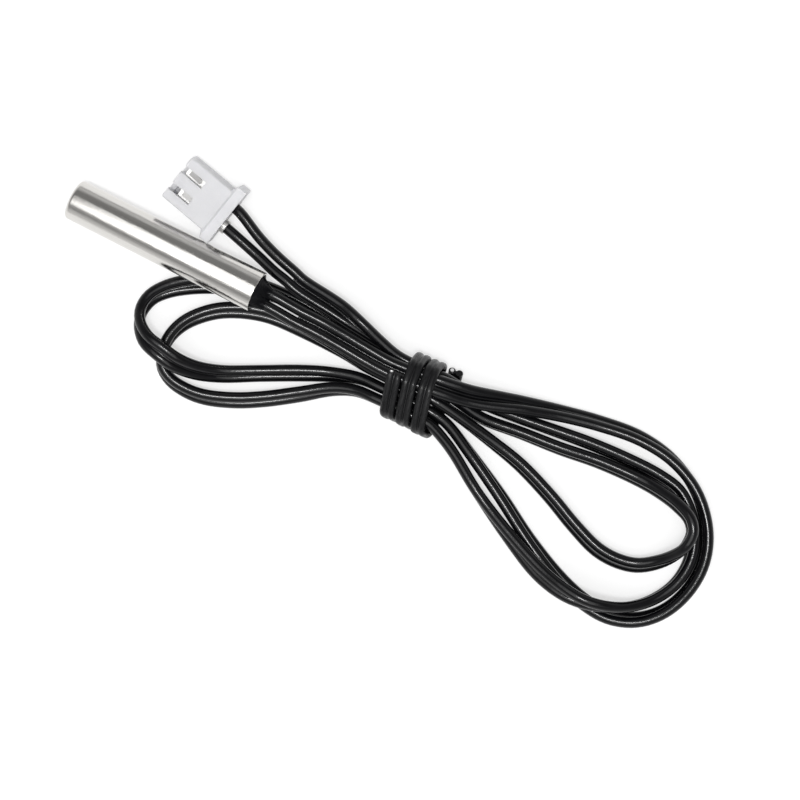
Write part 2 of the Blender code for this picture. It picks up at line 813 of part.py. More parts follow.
HOUSING_PLACE = housing_place()
HOUSING = add_frame("connector_frame", HOUSING_PLACE)
GRIP_RADIUS = CORE_RADIUS + FIT + GRIP_WALL
CONTACT_FLOOR = CAVITY_HEIGHT / 2 - 2 * FIT
WIRE_LEVEL = GRIP_RADIUS - CONTACT_FLOOR


def circuit_side(letter):
    """Which side of the connector's middle a circuit lies on, along its local Y."""
    return {"a": -1, "b": 1}[letter] * CIRCUIT_PITCH / 2


def insulation_end(letter):
    return CONTACT_START + GRIP_LENGTH + 2 * CONTACT_METAL - CONTACT_SETBACK[letter]


def core_tails(lead):
    """The four single cores past the ends of the web, joined to the twin lead and bored for strands."""
    for letter, side in SIDES.items():
        line = LEAD.core(-side)
        inside = LEAD.length < TAIL_OVERLAP
        start = line[inside][:: ROUTE_STEPS // 4]
        heights = [CORE_START, SLEEVE_LENGTH, SLEEVE_LENGTH + MENISCUS]
        axis = core_axis(side)
        straight = [PROBE_PLACE @ Vector((0, axis, height)) for height in heights]
        probe_points = [tuple(point) for point in straight] + [tuple(p) for p in start]
        smooth_points = smooth_line(probe_points, 4)
        tail = core_tube(
            f"join_probe_core_{letter}", smooth_points, CORE_RADIUS * TAIL_SHRINK
        )
        pocket = rod(
            f"cut_probe_core_{letter}",
            CONDUCTOR_RADIUS + FIT,
            CORE_START - CONDUCTOR_POCKET,
            CORE_START + CONDUCTOR_POCKET,
            parent=bpy.data.objects[f"core_frame_{letter}"],
        )
        unite(lead, tail)
        cut(lead, pocket)

        last = LEAD.length[-1]
        inside = LEAD.length > last - TAIL_OVERLAP
        start = line[inside][:: ROUTE_STEPS // 4]
        mid = []
        for across, up, height in CORE_ROUTES[letter]:
            mid.append((*on_plan(across, up), height * MM))
        end = insulation_end(letter)
        reaches = [-3 * CORE_RADIUS, -CORE_RADIUS, end / 2, end]
        y = circuit_side(letter)
        entry = [tuple(HOUSING_PLACE @ Vector((x, y, WIRE_LEVEL))) for x in reaches]
        smooth_points = smooth_line([tuple(p) for p in start] + mid + entry, 4)
        tail = core_tube(
            f"join_plug_core_{letter}", smooth_points, CORE_RADIUS * TAIL_SHRINK
        )
        unite(lead, tail)
        frame = contact_frame(letter)
        cut(
            lead,
            rod(
                f"cut_plug_core_{letter}",
                CONDUCTOR_RADIUS + FIT,
                end - CONDUCTOR_POCKET,
                end + CONDUCTOR_POCKET,
                parent=frame,
            ),
        )


def contact_frame(letter):
    """Frame on a circuit's wire axis, with local Z towards the mating end."""
    name = f"circuit_frame_{letter}"
    if name in bpy.data.objects:
        return bpy.data.objects[name]
    place = Matrix.Translation((0, circuit_side(letter), WIRE_LEVEL)) @ Matrix.Rotation(
        math.pi / 2, 4, "Y"
    )
    return add_frame(name, place, HOUSING)


def build_housing():
    """The moulded housing: a plug with a flange, two cavities, and a window over each contact."""
    half_width, half_height = PLUG_WIDTH / 2, PLUG_HEIGHT / 2
    housing = box(
        "connector_housing",
        (0, -half_width, -half_height),
        (PLUG_LENGTH, half_width, half_height),
        HOUSING_NYLON,
        HOUSING,
    )
    bevel = housing.modifiers.new("moulded_edges", "BEVEL")
    bevel.width = PLUG_EDGE
    bevel.segments = 2
    flange = box(
        "join_flange",
        (0, -FLANGE_WIDTH / 2, -half_height - FLANGE_BELOW),
        (FLANGE_LENGTH, FLANGE_WIDTH / 2, half_height + FLANGE_ABOVE),
        parent=HOUSING,
    )
    taper_flange(flange)
    unite(housing, flange)
    for letter in SIDES:
        y = circuit_side(letter)
        cut(
            housing,
            box(
                f"cut_cavity_{letter}",
                (-FLANGE_LENGTH, y - CAVITY_WIDTH / 2, -CAVITY_HEIGHT / 2),
                (PLUG_LENGTH - FRONT_WALL, y + CAVITY_WIDTH / 2, CAVITY_HEIGHT / 2),
                parent=HOUSING,
            ),
            box(
                f"cut_pin_opening_{letter}",
                (PLUG_LENGTH / 2, y - PIN_OPENING_WIDTH / 2, -PIN_OPENING_HEIGHT / 2),
                (2 * PLUG_LENGTH, y + PIN_OPENING_WIDTH / 2, PIN_OPENING_HEIGHT / 2),
                parent=HOUSING,
            ),
            box(
                f"cut_window_{letter}",
                (PLUG_LENGTH - WINDOW_LENGTH, y - WINDOW_WIDTH / 2, 0),
                (2 * PLUG_LENGTH, y + WINDOW_WIDTH / 2, PLUG_HEIGHT),
                parent=HOUSING,
            ),
        )


def taper_flange(flange):
    """Draws the flange's mating side in to meet the plug in a ramp."""
    shape = bmesh.new()
    shape.from_mesh(flange.data)
    front = [f for f in shape.faces if f.normal.x > 0.9]
    ramp = bmesh.ops.extrude_face_region(shape, geom=front)
    moved = [v for v in ramp["geom"] if isinstance(v, bmesh.types.BMVert)]
    bmesh.ops.delete(shape, geom=front, context="FACES_ONLY")
    bmesh.ops.translate(shape, vec=(FLANGE_RAMP, 0, 0), verts=moved)
    bmesh.ops.scale(shape, vec=(1, (PLUG_WIDTH - 2 * PLUG_EDGE) / FLANGE_WIDTH, 1), verts=moved)
    for vertex in moved:
        vertex.co.z = math.copysign(PLUG_HEIGHT / 2 - PLUG_EDGE, vertex.co.z)
    bmesh.ops.recalc_face_normals(shape, faces=shape.faces)
    shape.to_mesh(flange.data)
    shape.free()


def build_contact(letter):
    """A crimp contact: a box for the pin with a lance on top, a strand crimp and an insulation grip."""
    y = circuit_side(letter)
    start = CONTACT_START - CONTACT_SETBACK[letter]
    box_end = start + CONTACT_LENGTH
    box_start = box_end - CONTACT_BOX_LENGTH
    floor = -CONTACT_FLOOR
    half = CONTACT_BOX_WIDTH / 2
    roof = floor + CONTACT_BOX_HEIGHT
    contact = box(
        f"crimp_contact_{letter}",
        (box_start, y - half, floor),
        (box_end, y + half, roof),
        CONTACT_TIN,
        HOUSING,
    )
    inner = half - CONTACT_METAL
    cut(
        contact,
        box(
            f"cut_contact_box_{letter}",
            (box_start - MM, y - inner, floor + CONTACT_METAL),
            (box_end + MM, y + inner, roof - CONTACT_METAL),
            parent=HOUSING,
        ),
    )
    frame = contact_frame(letter)
    grip_bore = CORE_RADIUS + FIT
    grip = turned(
        f"join_grip_{letter}",
        ring_profile(grip_bore, GRIP_RADIUS, start, start + GRIP_LENGTH),
        SMALL_STEPS * 2,
        parent=frame,
        closed=True,
    )
    crimp_start = start + CRIMP_START - CONTACT_START
    crimp_bore = CONDUCTOR_RADIUS + FIT
    crimp = turned(
        f"join_crimp_{letter}",
        ring_profile(crimp_bore, CRIMP_RADIUS, crimp_start, crimp_start + CRIMP_LENGTH),
        SMALL_STEPS,
        parent=frame,
        closed=True,
    )
    foot_half = CRIMP_FOOT_WIDTH / 2
    foot_top = WIRE_LEVEL - crimp_bore - CONTACT_METAL / 3
    foot = box(
        f"join_crimp_foot_{letter}",
        (crimp_start, y - foot_half, floor + CONTACT_METAL / 2),
        (crimp_start + CRIMP_LENGTH, y + foot_half, foot_top),
        parent=HOUSING,
    )
    spine = box(
        f"join_spine_{letter}",
        (start, y - foot_half, floor),
        (box_start + CONTACT_METAL, y + foot_half, floor + CONTACT_METAL * 0.9),
        parent=HOUSING,
    )
    unite(contact, spine, grip, crimp, foot, build_lance(letter, box_end, roof))
    rod(
        f"plug_strands_{letter}",
        CONDUCTOR_RADIUS,
        insulation_end(letter) - CONDUCTOR_POCKET + FIT,
        start + STRANDS_END - CONTACT_START,
        STRANDS,
        frame,
    )


def build_lance(letter, box_end, roof):
    """The sprung tongue that catches the rear end of the housing's window."""
    y = circuit_side(letter)
    front = box_end - 2 * CONTACT_METAL
    low = roof - CONTACT_METAL * 0.8
    lance = box(
        f"join_lance_{letter}",
        (front - LANCE_LENGTH, y - LANCE_WIDTH / 2, low),
        (front, y + LANCE_WIDTH / 2, low + CONTACT_METAL),
        parent=HOUSING,
    )
    rear = [v for v in lance.data.vertices if v.co.x < front - LANCE_LENGTH / 2]
    for vertex in rear:
        vertex.co.z += LANCE_RISE[letter]
    return lance


def tie_frame():
    """Centre and directions of the tie: along the bundle and across it."""
    x, y = on_plan(*TIE_CENTRE)
    heading = TIE_SLOPE + PLAN_TURN
    along = np.array([math.cos(heading), math.sin(heading), 0])
    across = np.array([-math.sin(heading), math.cos(heading), 0])
    return np.array([x, y, 0]), along, across


TIE_ORIGIN, TIE_ALONG, TIE_ACROSS = tie_frame()


def bundle_passes():
    """Each core's run through the tie, as rows of (along, across, height)."""
    passes = []
    picked = LEAD.picked(ROUTE_POINTS)
    for side in (1, -1):
        corners = LEAD.core(side)[picked]
        runs = [np.interp(LEAD.length, LEAD.length[picked], corners[:, k]) for k in range(3)]
        offset = np.stack(runs, axis=1) - TIE_ORIGIN
        rows = np.stack([offset @ TIE_ALONG, offset @ TIE_ACROSS, offset[:, 2]], axis=1)
        near = (np.abs(rows[:, 0]) < 7 * MM) & (np.abs(rows[:, 1]) < 7 * MM)
        marks = np.flatnonzero(near)
        for run in np.split(marks, np.flatnonzero(np.diff(marks) > 1) + 1):
            ordered = rows[run]
            if ordered[0, 0] > ordered[-1, 0]:
                ordered = ordered[::-1]
            passes.append(ordered)
    return passes


BUNDLE = bundle_passes()


def bundle_section(along):
    """Centres of the bundle's cores where a plane across the tie cuts them."""
    return np.array(
        [
            [np.interp(along, run[:, 0], run[:, 1]), np.interp(along, run[:, 0], run[:, 2])]
            for run in BUNDLE
        ]
    )


def ribbon_path():
    """Centres and outward directions of the ribbon, wound taut round the bundle."""
    stand_off = CORE_RADIUS + TIE_GAP + TIE_RIDGE_RADIUS
    reach = TIE_RIDGE_PITCH / 2 + TIE_LEAN
    angles = np.radians(np.arange(TIE_START_ANGLE, TIE_END_ANGLE + 1, TIE_STEP_ANGLE))
    normals = np.stack([np.cos(angles), np.sin(angles)], axis=1)
    wound = (angles - angles[0]) / (2 * math.pi)
    lean = np.sin(angles)
    for _ in range(3):
        turn_middle = TIE_START_ALONG + TIE_PITCH * wound
        section = []
        for place, normal in zip(turn_middle, normals):
            near = [bundle_section(place + side * reach) for side in (-1, 0, 1)]
            cores = np.vstack(near)
            section.append(cores[np.argmax(cores @ normal)] + stand_off * normal)
        section = np.array(section)
        section[:, 1] = np.maximum(section[:, 1], TIE_RIDGE_RADIUS + FIT / 2)
        steps = np.linalg.norm(np.diff(section, axis=0), axis=1)
        gone = np.concatenate([[0], np.cumsum(steps)])
        turn = np.interp(angles[0] + 2 * math.pi, angles, gone)
        wound = gone / turn
        middle = (section[:, 1].max() + section[:, 1].min()) / 2
        lean = (section[:, 1] - middle) / (section[:, 1].max() - middle)
    along = turn_middle - TIE_LEAN * lean
    places = TIE_ORIGIN + along[:, None] * TIE_ALONG + section[:, :1] * TIE_ACROSS
    places[:, 2] += section[:, 1]
    outward = normals[:, :1] * TIE_ACROSS
    outward[:, 2] = normals[:, 1]
    return places, outward


def swept(name, centres, outward, outline, material, hole=()):
    """A closed sweep of an outline, with a hole along it, that keeps facing the outward directions."""
    tangents = np.gradient(centres, axis=0)
    tangents /= np.linalg.norm(tangents, axis=1)[:, None]
    wide = np.cross(tangents, outward)
    wide /= np.linalg.norm(wide, axis=1)[:, None]
    thick = np.cross(wide, tangents)
    band = bmesh.new()
    start_edges, end_edges = [], []
    for loop in filter(None, (outline, hole)):
        rings = []
        for centre, across, up in zip(centres, wide, thick):
            rings.append([band.verts.new(centre + a * across + b * up) for a, b in loop])
        for first, second in zip(rings, rings[1:]):
            for i in range(len(loop)):
                band.faces.new((first[i - 1], first[i], second[i], second[i - 1]))
        for edges, ring in ((start_edges, rings[0]), (end_edges, rings[-1])):
            edges += [band.edges.get((ring[i - 1], ring[i])) for i in range(len(ring))]
    for edges in (start_edges, end_edges):
        bmesh.ops.triangle_fill(band, edges=edges, use_beauty=True)
    bmesh.ops.recalc_face_normals(band, faces=band.faces)
    mesh = bpy.data.meshes.new(name)
    band.to_mesh(mesh)
    band.free()
    smooth(mesh)
    return add_object(name, mesh, material)


def round_outline(offset, radius, steps):
    outline = []
    for i in range(steps):
        angle = 2 * math.pi * (i + 0.5) / steps
        outline.append((offset + radius * math.cos(angle), radius * math.sin(angle)))
    return outline


def build_tie():
    """The ribbon round the bundle, and the wire that keeps its bends."""
    centres, outward = ribbon_path()
    ridge = TIE_RIDGE_PITCH / 2
    swept(
        "tie_ribbon",
        centres,
        outward,
        ridged_outline(TIE_RIDGE_RADIUS, TIE_RIDGE_PITCH, TIE_WAIST, 7),
        TIE_PLASTIC,
        hole=round_outline(ridge, TIE_WIRE_RADIUS + FIT, 8),
    )
    wire = round_outline(ridge, TIE_WIRE_RADIUS, 8)
    swept("tie_wire", centres, outward, wire, TIE_STEEL)


build_sleeve()
build_probe_inside()
build_housing()
for circuit in SIDES:
    build_contact(circuit)
core_tails(twin_tube())
build_tie()
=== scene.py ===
"""The thermistor probe and its tied lead, dressed for a picture on a pale studio floor.

Metres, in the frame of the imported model: +Z up, +X from the sleeve's closed tip to its mouth.
"""

import math

import bmesh
import bpy
import numpy as np
from mathutils import Matrix, Vector


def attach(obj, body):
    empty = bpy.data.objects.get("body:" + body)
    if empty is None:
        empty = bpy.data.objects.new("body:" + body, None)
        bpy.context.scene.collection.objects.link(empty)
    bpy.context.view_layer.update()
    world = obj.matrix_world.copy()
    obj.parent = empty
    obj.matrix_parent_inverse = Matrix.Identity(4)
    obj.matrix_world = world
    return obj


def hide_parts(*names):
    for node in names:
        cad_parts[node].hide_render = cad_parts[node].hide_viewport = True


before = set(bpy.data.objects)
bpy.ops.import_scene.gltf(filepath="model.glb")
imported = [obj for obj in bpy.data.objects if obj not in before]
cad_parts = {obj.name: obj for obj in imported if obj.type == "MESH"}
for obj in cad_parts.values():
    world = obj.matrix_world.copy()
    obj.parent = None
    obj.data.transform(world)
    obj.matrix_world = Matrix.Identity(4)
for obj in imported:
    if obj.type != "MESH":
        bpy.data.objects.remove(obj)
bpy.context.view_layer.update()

MM = 0.001

# Clearance between pieces that touch, and the floor under which nothing reaches
FIT = 0.05 * MM

# Steel sleeve
SLEEVE_DIAMETER = 5.0 * MM
SLEEVE_WALL = 0.3 * MM
SLEEVE_LENGTH = 25.0 * MM
TIP_WALL = 0.4 * MM
TIP_ROUND = 0.45 * MM
RIM_ROUND = 0.08 * MM
SLEEVE_TILT = math.radians(6.6)

# Potting resin, and how far it climbs the cores beyond the mouth
MENISCUS = 1.9 * MM
MENISCUS_TOP_RADIUS = 1.55 * MM

# Twin lead: two insulated cores side by side with a thin web between them
CORE_RADIUS = 0.67 * MM
CORE_PITCH = 1.49 * MM
WEB_HALF = 0.18 * MM
CORE_START = 14.0 * MM
LEAD_OFFSET = -0.25 * MM

# Twist tie: a flat plastic ribbon of two ridges, with a steel wire in one of them
TIE_RIDGE_RADIUS = 0.4 * MM
TIE_RIDGE_PITCH = 0.83 * MM
TIE_GAP = 0.1 * MM
TIE_WIRE_RADIUS = 0.23 * MM
TIE_PITCH = 1.88 * MM
TIE_START_ALONG = -1.7 * MM
TIE_LEAN = 0.72 * MM
TIE_START_ANGLE = 75
TIE_END_ANGLE = 1075
TIE_STEP_ANGLE = 15

# Where the tie holds the bundle, in the plan of the lead
TIE_CENTRE = (1.26, 1.32)
TIE_SLOPE = math.radians(-22)

# Connector housing and its two crimp contacts
CIRCUIT_PITCH = 2.5 * MM
PLUG_LENGTH = 7.95 * MM
PLUG_WIDTH = 5.9 * MM
PLUG_HEIGHT = 4.3 * MM
PLUG_EDGE = 0.25 * MM
FLANGE_LENGTH = 1.2 * MM
FLANGE_RAMP = 0.6 * MM
FLANGE_WIDTH = 7.6 * MM
FLANGE_BELOW = 0.7 * MM
FLANGE_ABOVE = 0.2 * MM
CAVITY_WIDTH = 2.0 * MM
CAVITY_HEIGHT = 2.7 * MM
FRONT_WALL = 0.7 * MM
PIN_OPENING_WIDTH = 1.3 * MM
PIN_OPENING_HEIGHT = 1.5 * MM
WINDOW_WIDTH = 0.95 * MM
WINDOW_LENGTH = 3.6 * MM
HOUSING_ROLL = math.radians(9)
HOUSING_PLAN = (-20.58, 21.95)
HOUSING_HEADING = math.radians(139.8)

CONTACT_METAL = 0.2 * MM
CONTACT_START = 0.15 * MM
CONTACT_SETBACK = {"a": 0.0, "b": 0.8 * MM}
GRIP_LENGTH = 1.2 * MM
GRIP_WALL = 0.15 * MM

# The lead's plan is turned by this much to bring the sleeve onto X
PLAN_TURN = math.radians(27)
PLAN_ORIGIN = (-27.28, 18.11)

ROUTE_STEPS = 24


def at_tie(along, lateral, lift, roll):
    """A route point from its place in the tie: along its axis and across it, in millimetres."""
    turn_cos, turn_sin = math.cos(TIE_SLOPE), math.sin(TIE_SLOPE)
    across = TIE_CENTRE[0] + along * turn_cos - lateral * turn_sin
    up = TIE_CENTRE[1] + along * turn_sin + lateral * turn_cos
    return (across, up, lift, roll)


# Route of the twin lead from the sleeve to the connector, in millimetres and degrees: across and
# up in the plan, lift of its underside above the floor, and roll (0 flat, 90 on edge).
LEAD_FROM_SLEEVE = [
    (-12.12, 9.90, 4.81, 0),
    (-9.61, 8.63, 4.72, 2),
    (-6.65, 6.94, 4.41, 6),
    (-3.65, 5.15, 4.20, 13),
    at_tie(-3.05, 1.38, 4.12, 21),
    at_tie(3.18, 1.53, 4.35, 10),
]
OUTER_RIGHT_LOOP = [
    (8.47, 0.40, 3.67, 4),
    (12.08, -0.26, 2.52, 27),
    (14.53, -0.63, 1.77, 43),
    (19.32, -1.61, 0.49, 58),
    (24.05, -2.84, 0.03, 63),
    (28.89, -4.61, 0, 68),
    (32.80, -7.26, 0, 80),
    (35.63, -11.01, 0, 92),
    (36.90, -15.53, 0, 97),
    (36.55, -19.42, 0, 97),
    (34.76, -22.79, 0, 99),
    (31.83, -25.38, 0, 103),
    (28.56, -26.44, 0, 110),
    (25.19, -26.01, 0, 118),
    (22.21, -24.33, 0, 119),
    (19.29, -21.62, 0, 114),
    (15.63, -17.00, 0, 108),
    (12.06, -11.55, 0, 104),
    at_tie(9.45, -4.46, 0.25, 95),
    at_tie(5.62, -2.24, 0.88, 90),
    at_tie(3.08, -1.58, 1.09, 91),
    at_tie(-3.19, -1.18, 0.83, 90),
]
OUTER_LEFT_LOOP = [
    at_tie(-6.19, -1.12, 0.32, 83),
    (-8.54, 3.10, 0, 68),
    (-12.14, 3.24, 0, 61),
    (-16.87, 3.20, 0, 61),
    (-21.64, 3.15, 0.39, 55),
    (-24.63, 3.60, 1.51, 46),
    (-27.03, 4.61, 2.76, 38),
    (-28.85, 5.95, 3.07, 38),
    (-30.32, 7.21, 2.62, 50),
    (-31.13, 8.75, 1.65, 72),
    (-31.25, 10.19, 0.78, 91),
    (-30.84, 11.30, 0.35, 105),
    (-29.81, 12.49, 0.11, 116),
    (-27.88, 13.41, 0, 128),
    (-25.19, 13.94, 0, 140),
    (-22.21, 14.09, 0, 150),
    (-19.22, 13.90, 0, 146),
    (-16.53, 13.33, 0, 133),
    (-12.00, 11.55, 0, 112),
    at_tie(-11.79, 3.87, 0, 98),
    at_tie(-8.98, 2.95, 0.03, 90),
    at_tie(-5.66, 1.98, 0.32, 90),
    at_tie(-2.93, 1.60, 0.84, 90),
    at_tie(3.27, 1.19, 1.14, 90),
]
INNER_RIGHT_LOOP = [
    at_tie(5.90, 0.71, 0.83, 91),
    (9.91, -2.22, 0.26, 95),
    (14.53, -3.96, 0.06, 98),
    (19.27, -5.84, 0.06, 101),
    (24.00, -7.48, 0, 103),
    (28.80, -9.63, 0.25, 104),
    (31.33, -11.11, 1.07, 104),
    (33.39, -12.74, 2.38, 104),
    (34.62, -14.25, 3.05, 98),
    (34.92, -15.78, 3.10, 93),
    (34.30, -17.25, 2.78, 89),
    (32.91, -18.56, 1.60, 78),
    (30.86, -19.52, 0.54, 69),
    (28.50, -19.89, 0.06, 67),
    (26.10, -19.33, 0, 67),
    (23.71, -17.98, 0, 68),
    (21.07, -15.28, 0, 71),
    (18.01, -11.57, 0.05, 73),
    (14.44, -7.80, 0.17, 75),
    (10.91, -4.91, 0.47, 81),
    at_tie(5.99, -0.75, 1.49, 89),
    at_tie(3.27, -0.22, 1.88, 91),
    at_tie(-3.14, 0.22, 1.58, 90),
]
INNER_LEFT_LOOP = [
    at_tie(-5.84, 0.48, 0.88, 88),
    at_tie(-9.10, 1.07, 0.29, 82),
    (-12.07, 8.61, 0.08, 67),
    (-15.61, 10.15, 0.03, 63),
    (-18.66, 10.76, 0, 62),
    (-21.64, 10.76, 0, 64),
    (-24.05, 10.18, 0, 67),
    (-26.06, 9.21, 0, 73),
    (-27.60, 7.78, 0, 82),
    (-28.55, 5.95, 0, 90),
    (-28.63, 4.08, 0, 97),
    (-27.61, 2.44, 0, 104),
    (-25.69, 1.13, 0, 110),
    (-23.49, 0.35, 0, 114),
    (-19.87, -0.03, 0.02, 116),
    (-16.35, 0.12, 0.04, 116),
    (-12.25, 0.66, 0.10, 114),
    (-8.08, 1.31, 0.34, 105),
    at_tie(-6.05, -2.65, 0.76, 96),
    at_tie(-3.44, -2.61, 1.44, 90),
    at_tie(2.36, -2.97, 1.88, 92),
]
MIDDLE_RIGHT_LOOP = [
    at_tie(3.63, -3.05, 1.80, 89),
    at_tie(6.93, -4.71, 1.08, 90),
    (9.29, -11.10, 0.39, 90),
    (13.05, -16.31, 0.98, 108),
    (16.65, -20.60, 1.91, 128),
    (19.41, -22.83, 2.68, 126),
    (21.82, -24.07, 2.90, 111),
    (24.51, -24.73, 2.42, 99),
    (27.60, -24.81, 1.13, 94),
    (30.62, -23.92, 0.21, 90),
    (33.22, -22.02, 0, 87),
    (34.86, -19.33, 0, 83),
    (35.34, -16.30, 0, 82),
    (34.81, -13.22, 0, 85),
    (33.56, -10.90, 0, 83),
    (31.16, -9.10, 0, 79),
    (27.64, -7.27, 0, 79),
    (22.85, -5.22, 0, 79),
    (18.16, -3.51, 0, 83),
    (13.46, -1.83, 0.03, 86),
    at_tie(8.84, 1.67, 0.29, 86),
    at_tie(6.02, 2.31, 0.78, 89),
    at_tie(3.38, 2.76, 1.23, 90),
    at_tie(-2.66, 3.05, 1.44, 89),
]
LEAD_TO_CONNECTOR = [
    at_tie(-5.46, 3.74, 1.91, 75),
    at_tie(-8.82, 4.76, 2.71, 47),
    at_tie(-11.72, 5.56, 2.94, 15),
    (-12.00, 13.76, 2.87, 0),
    (-13.08, 14.76, 2.88, 0),
]
ROUTE = (
    LEAD_FROM_SLEEVE
    + OUTER_RIGHT_LOOP
    + OUTER_LEFT_LOOP
    + INNER_RIGHT_LOOP
    + INNER_LEFT_LOOP
    + MIDDLE_RIGHT_LOOP
    + LEAD_TO_CONNECTOR
)

# The two single cores between the end of the web and the connector, in plan millimetres
CORE_ROUTES = {
    "a": [(-14.62, 17.12, 3.55), (-16.83, 19.42, 3.45)],
    "b": [(-15.10, 15.43, 3.4), (-16.92, 17.16, 3.2)],
}


def smooth_line(points, steps):
    """Centripetal Catmull-Rom samples of rows whose first three columns are a place."""
    rows = np.array(points, float)
    rows = np.vstack([2 * rows[0] - rows[1], rows, 2 * rows[-1] - rows[-2]])
    knots = np.concatenate(
        [[0], np.cumsum(np.linalg.norm(np.diff(rows[:, :3], axis=0), axis=1) ** 0.5)]
    )
    samples = []
    for i in range(1, len(rows) - 2):
        t0, t1, t2, t3 = knots[i - 1 : i + 3]
        for step in range(steps):
            t = t1 + (t2 - t1) * step / steps
            a1 = ((t1 - t) * rows[i - 1] + (t - t0) * rows[i]) / (t1 - t0)
            a2 = ((t2 - t) * rows[i] + (t - t1) * rows[i + 1]) / (t2 - t1)
            a3 = ((t3 - t) * rows[i + 1] + (t - t2) * rows[i + 2]) / (t3 - t2)
            b1 = ((t2 - t) * a1 + (t - t0) * a2) / (t2 - t0)
            b2 = ((t3 - t) * a2 + (t - t1) * a3) / (t3 - t1)
            samples.append(((t2 - t) * b1 + (t - t1) * b2) / (t2 - t1))
    samples.append(rows[-2])
    return np.array(samples)


def on_plan(across, up):
    """Plan millimetres as the part's X and Y."""
    across, up = across - PLAN_ORIGIN[0], up - PLAN_ORIGIN[1]
    turn_cos, turn_sin = math.cos(PLAN_TURN), math.sin(PLAN_TURN)
    x = across * turn_cos - up * turn_sin
    y = across * turn_sin + up * turn_cos
    return x * MM, y * MM


class LeadLine:
    """The lead's smooth centre line, with the direction from its centre to its first core."""

    def __init__(self, route):
        samples = smooth_line(route, ROUTE_STEPS)
        self.roll = np.radians(samples[:, 3])
        x, y = on_plan(samples[:, 0], samples[:, 1])
        lift = np.maximum(samples[:, 2], 0) * MM
        z = lift + CORE_RADIUS + CORE_PITCH / 2 * np.abs(np.sin(self.roll)) + FIT / 5
        self.centre = np.stack([x, y, z], axis=1)
        steps = np.linalg.norm(np.diff(self.centre, axis=0), axis=1)
        self.length = np.concatenate([[0], np.cumsum(steps)])
        self.tangent = np.gradient(self.centre, self.length, axis=0)
        self.tangent /= np.linalg.norm(self.tangent, axis=1)[:, None]
        sideways = np.cross(self.tangent, [0, 0, 1])
        sideways /= np.linalg.norm(sideways, axis=1)[:, None]
        upwards = np.cross(sideways, self.tangent)
        self.to_core = (
            np.cos(self.roll)[:, None] * sideways + np.sin(self.roll)[:, None] * upwards
        )

    def core(self, side):
        """Centre line of one core: side 1 is the first, -1 the second."""
        return self.centre + side * CORE_PITCH / 2 * self.to_core


def ridged_outline(ridge_radius, pitch, waist_half, steps):
    """Outline of two round ridges side by side, joined by a flat web between them."""
    outline = []
    opening = math.degrees(math.asin(waist_half / ridge_radius))
    for side, start in ((1, opening - 180), (-1, opening)):
        for i in range(steps):
            angle = math.radians(start + (360 - 2 * opening) * i / (steps - 1))
            across = side * pitch / 2 + ridge_radius * math.cos(angle)
            outline.append((across, ridge_radius * math.sin(angle)))
    return outline


def round_outline(offset, radius, steps):
    """Outline of a round bar beside the middle of a sweep."""
    outline = []
    for i in range(steps):
        angle = 2 * math.pi * (i + 0.5) / steps
        outline.append((offset + radius * math.cos(angle), radius * math.sin(angle)))
    return outline


def tie_frame():
    """Centre and directions of the tie: along the bundle and across it."""
    x, y = on_plan(*TIE_CENTRE)
    heading = TIE_SLOPE + PLAN_TURN
    along = np.array([math.cos(heading), math.sin(heading), 0])
    across = np.array([-math.sin(heading), math.cos(heading), 0])
    return np.array([x, y, 0]), along, across


def bundle_passes():
    """Each core's run through the tie, as rows of (along, across, height)."""
    passes = []
    for side in (1, -1):
        offset = LEAD.core(side) - TIE_ORIGIN
        rows = np.stack([offset @ TIE_ALONG, offset @ TIE_ACROSS, offset[:, 2]], axis=1)
        near = (np.abs(rows[:, 0]) < 7 * MM) & (np.abs(rows[:, 1]) < 7 * MM)
        marks = np.flatnonzero(near)
        for run in np.split(marks, np.flatnonzero(np.diff(marks) > 1) + 1):
            ordered = rows[run]
            if ordered[0, 0] > ordered[-1, 0]:
                ordered = ordered[::-1]
            passes.append(ordered)
    return passes


def bundle_section(along):
    """Centres of the bundle's cores where a plane across the tie cuts them."""
    return np.array(
        [
            [np.interp(along, run[:, 0], run[:, 1]), np.interp(along, run[:, 0], run[:, 2])]
            for run in BUNDLE
        ]
    )


def ribbon_path():
    """Centres and outward directions of the ribbon, wound taut round the bundle."""
    stand_off = CORE_RADIUS + TIE_GAP + TIE_RIDGE_RADIUS
    reach = TIE_RIDGE_PITCH / 2 + TIE_LEAN
    angles = np.radians(np.arange(TIE_START_ANGLE, TIE_END_ANGLE + 1, TIE_STEP_ANGLE))
    normals = np.stack([np.cos(angles), np.sin(angles)], axis=1)
    wound = (angles - angles[0]) / (2 * math.pi)
    lean = np.sin(angles)
    for _ in range(3):
        turn_middle = TIE_START_ALONG + TIE_PITCH * wound
        section = []
        for place, normal in zip(turn_middle, normals):
            near = [bundle_section(place + side * reach) for side in (-1, 0, 1)]
            cores = np.vstack(near)
            section.append(cores[np.argmax(cores @ normal)] + stand_off * normal)
        section = np.array(section)
        section[:, 1] = np.maximum(section[:, 1], TIE_RIDGE_RADIUS + FIT / 2)
        steps = np.linalg.norm(np.diff(section, axis=0), axis=1)
        gone = np.concatenate([[0], np.cumsum(steps)])
        turn = np.interp(angles[0] + 2 * math.pi, angles, gone)
        wound = gone / turn
        middle = (section[:, 1].max() + section[:, 1].min()) / 2
        lean = (section[:, 1] - middle) / (section[:, 1].max() - middle)
    along = turn_middle - TIE_LEAN * lean
    places = TIE_ORIGIN + along[:, None] * TIE_ALONG + section[:, :1] * TIE_ACROSS
    places[:, 2] += section[:, 1]
    outward = normals[:, :1] * TIE_ACROSS
    outward[:, 2] = normals[:, 1]
    return places, outward


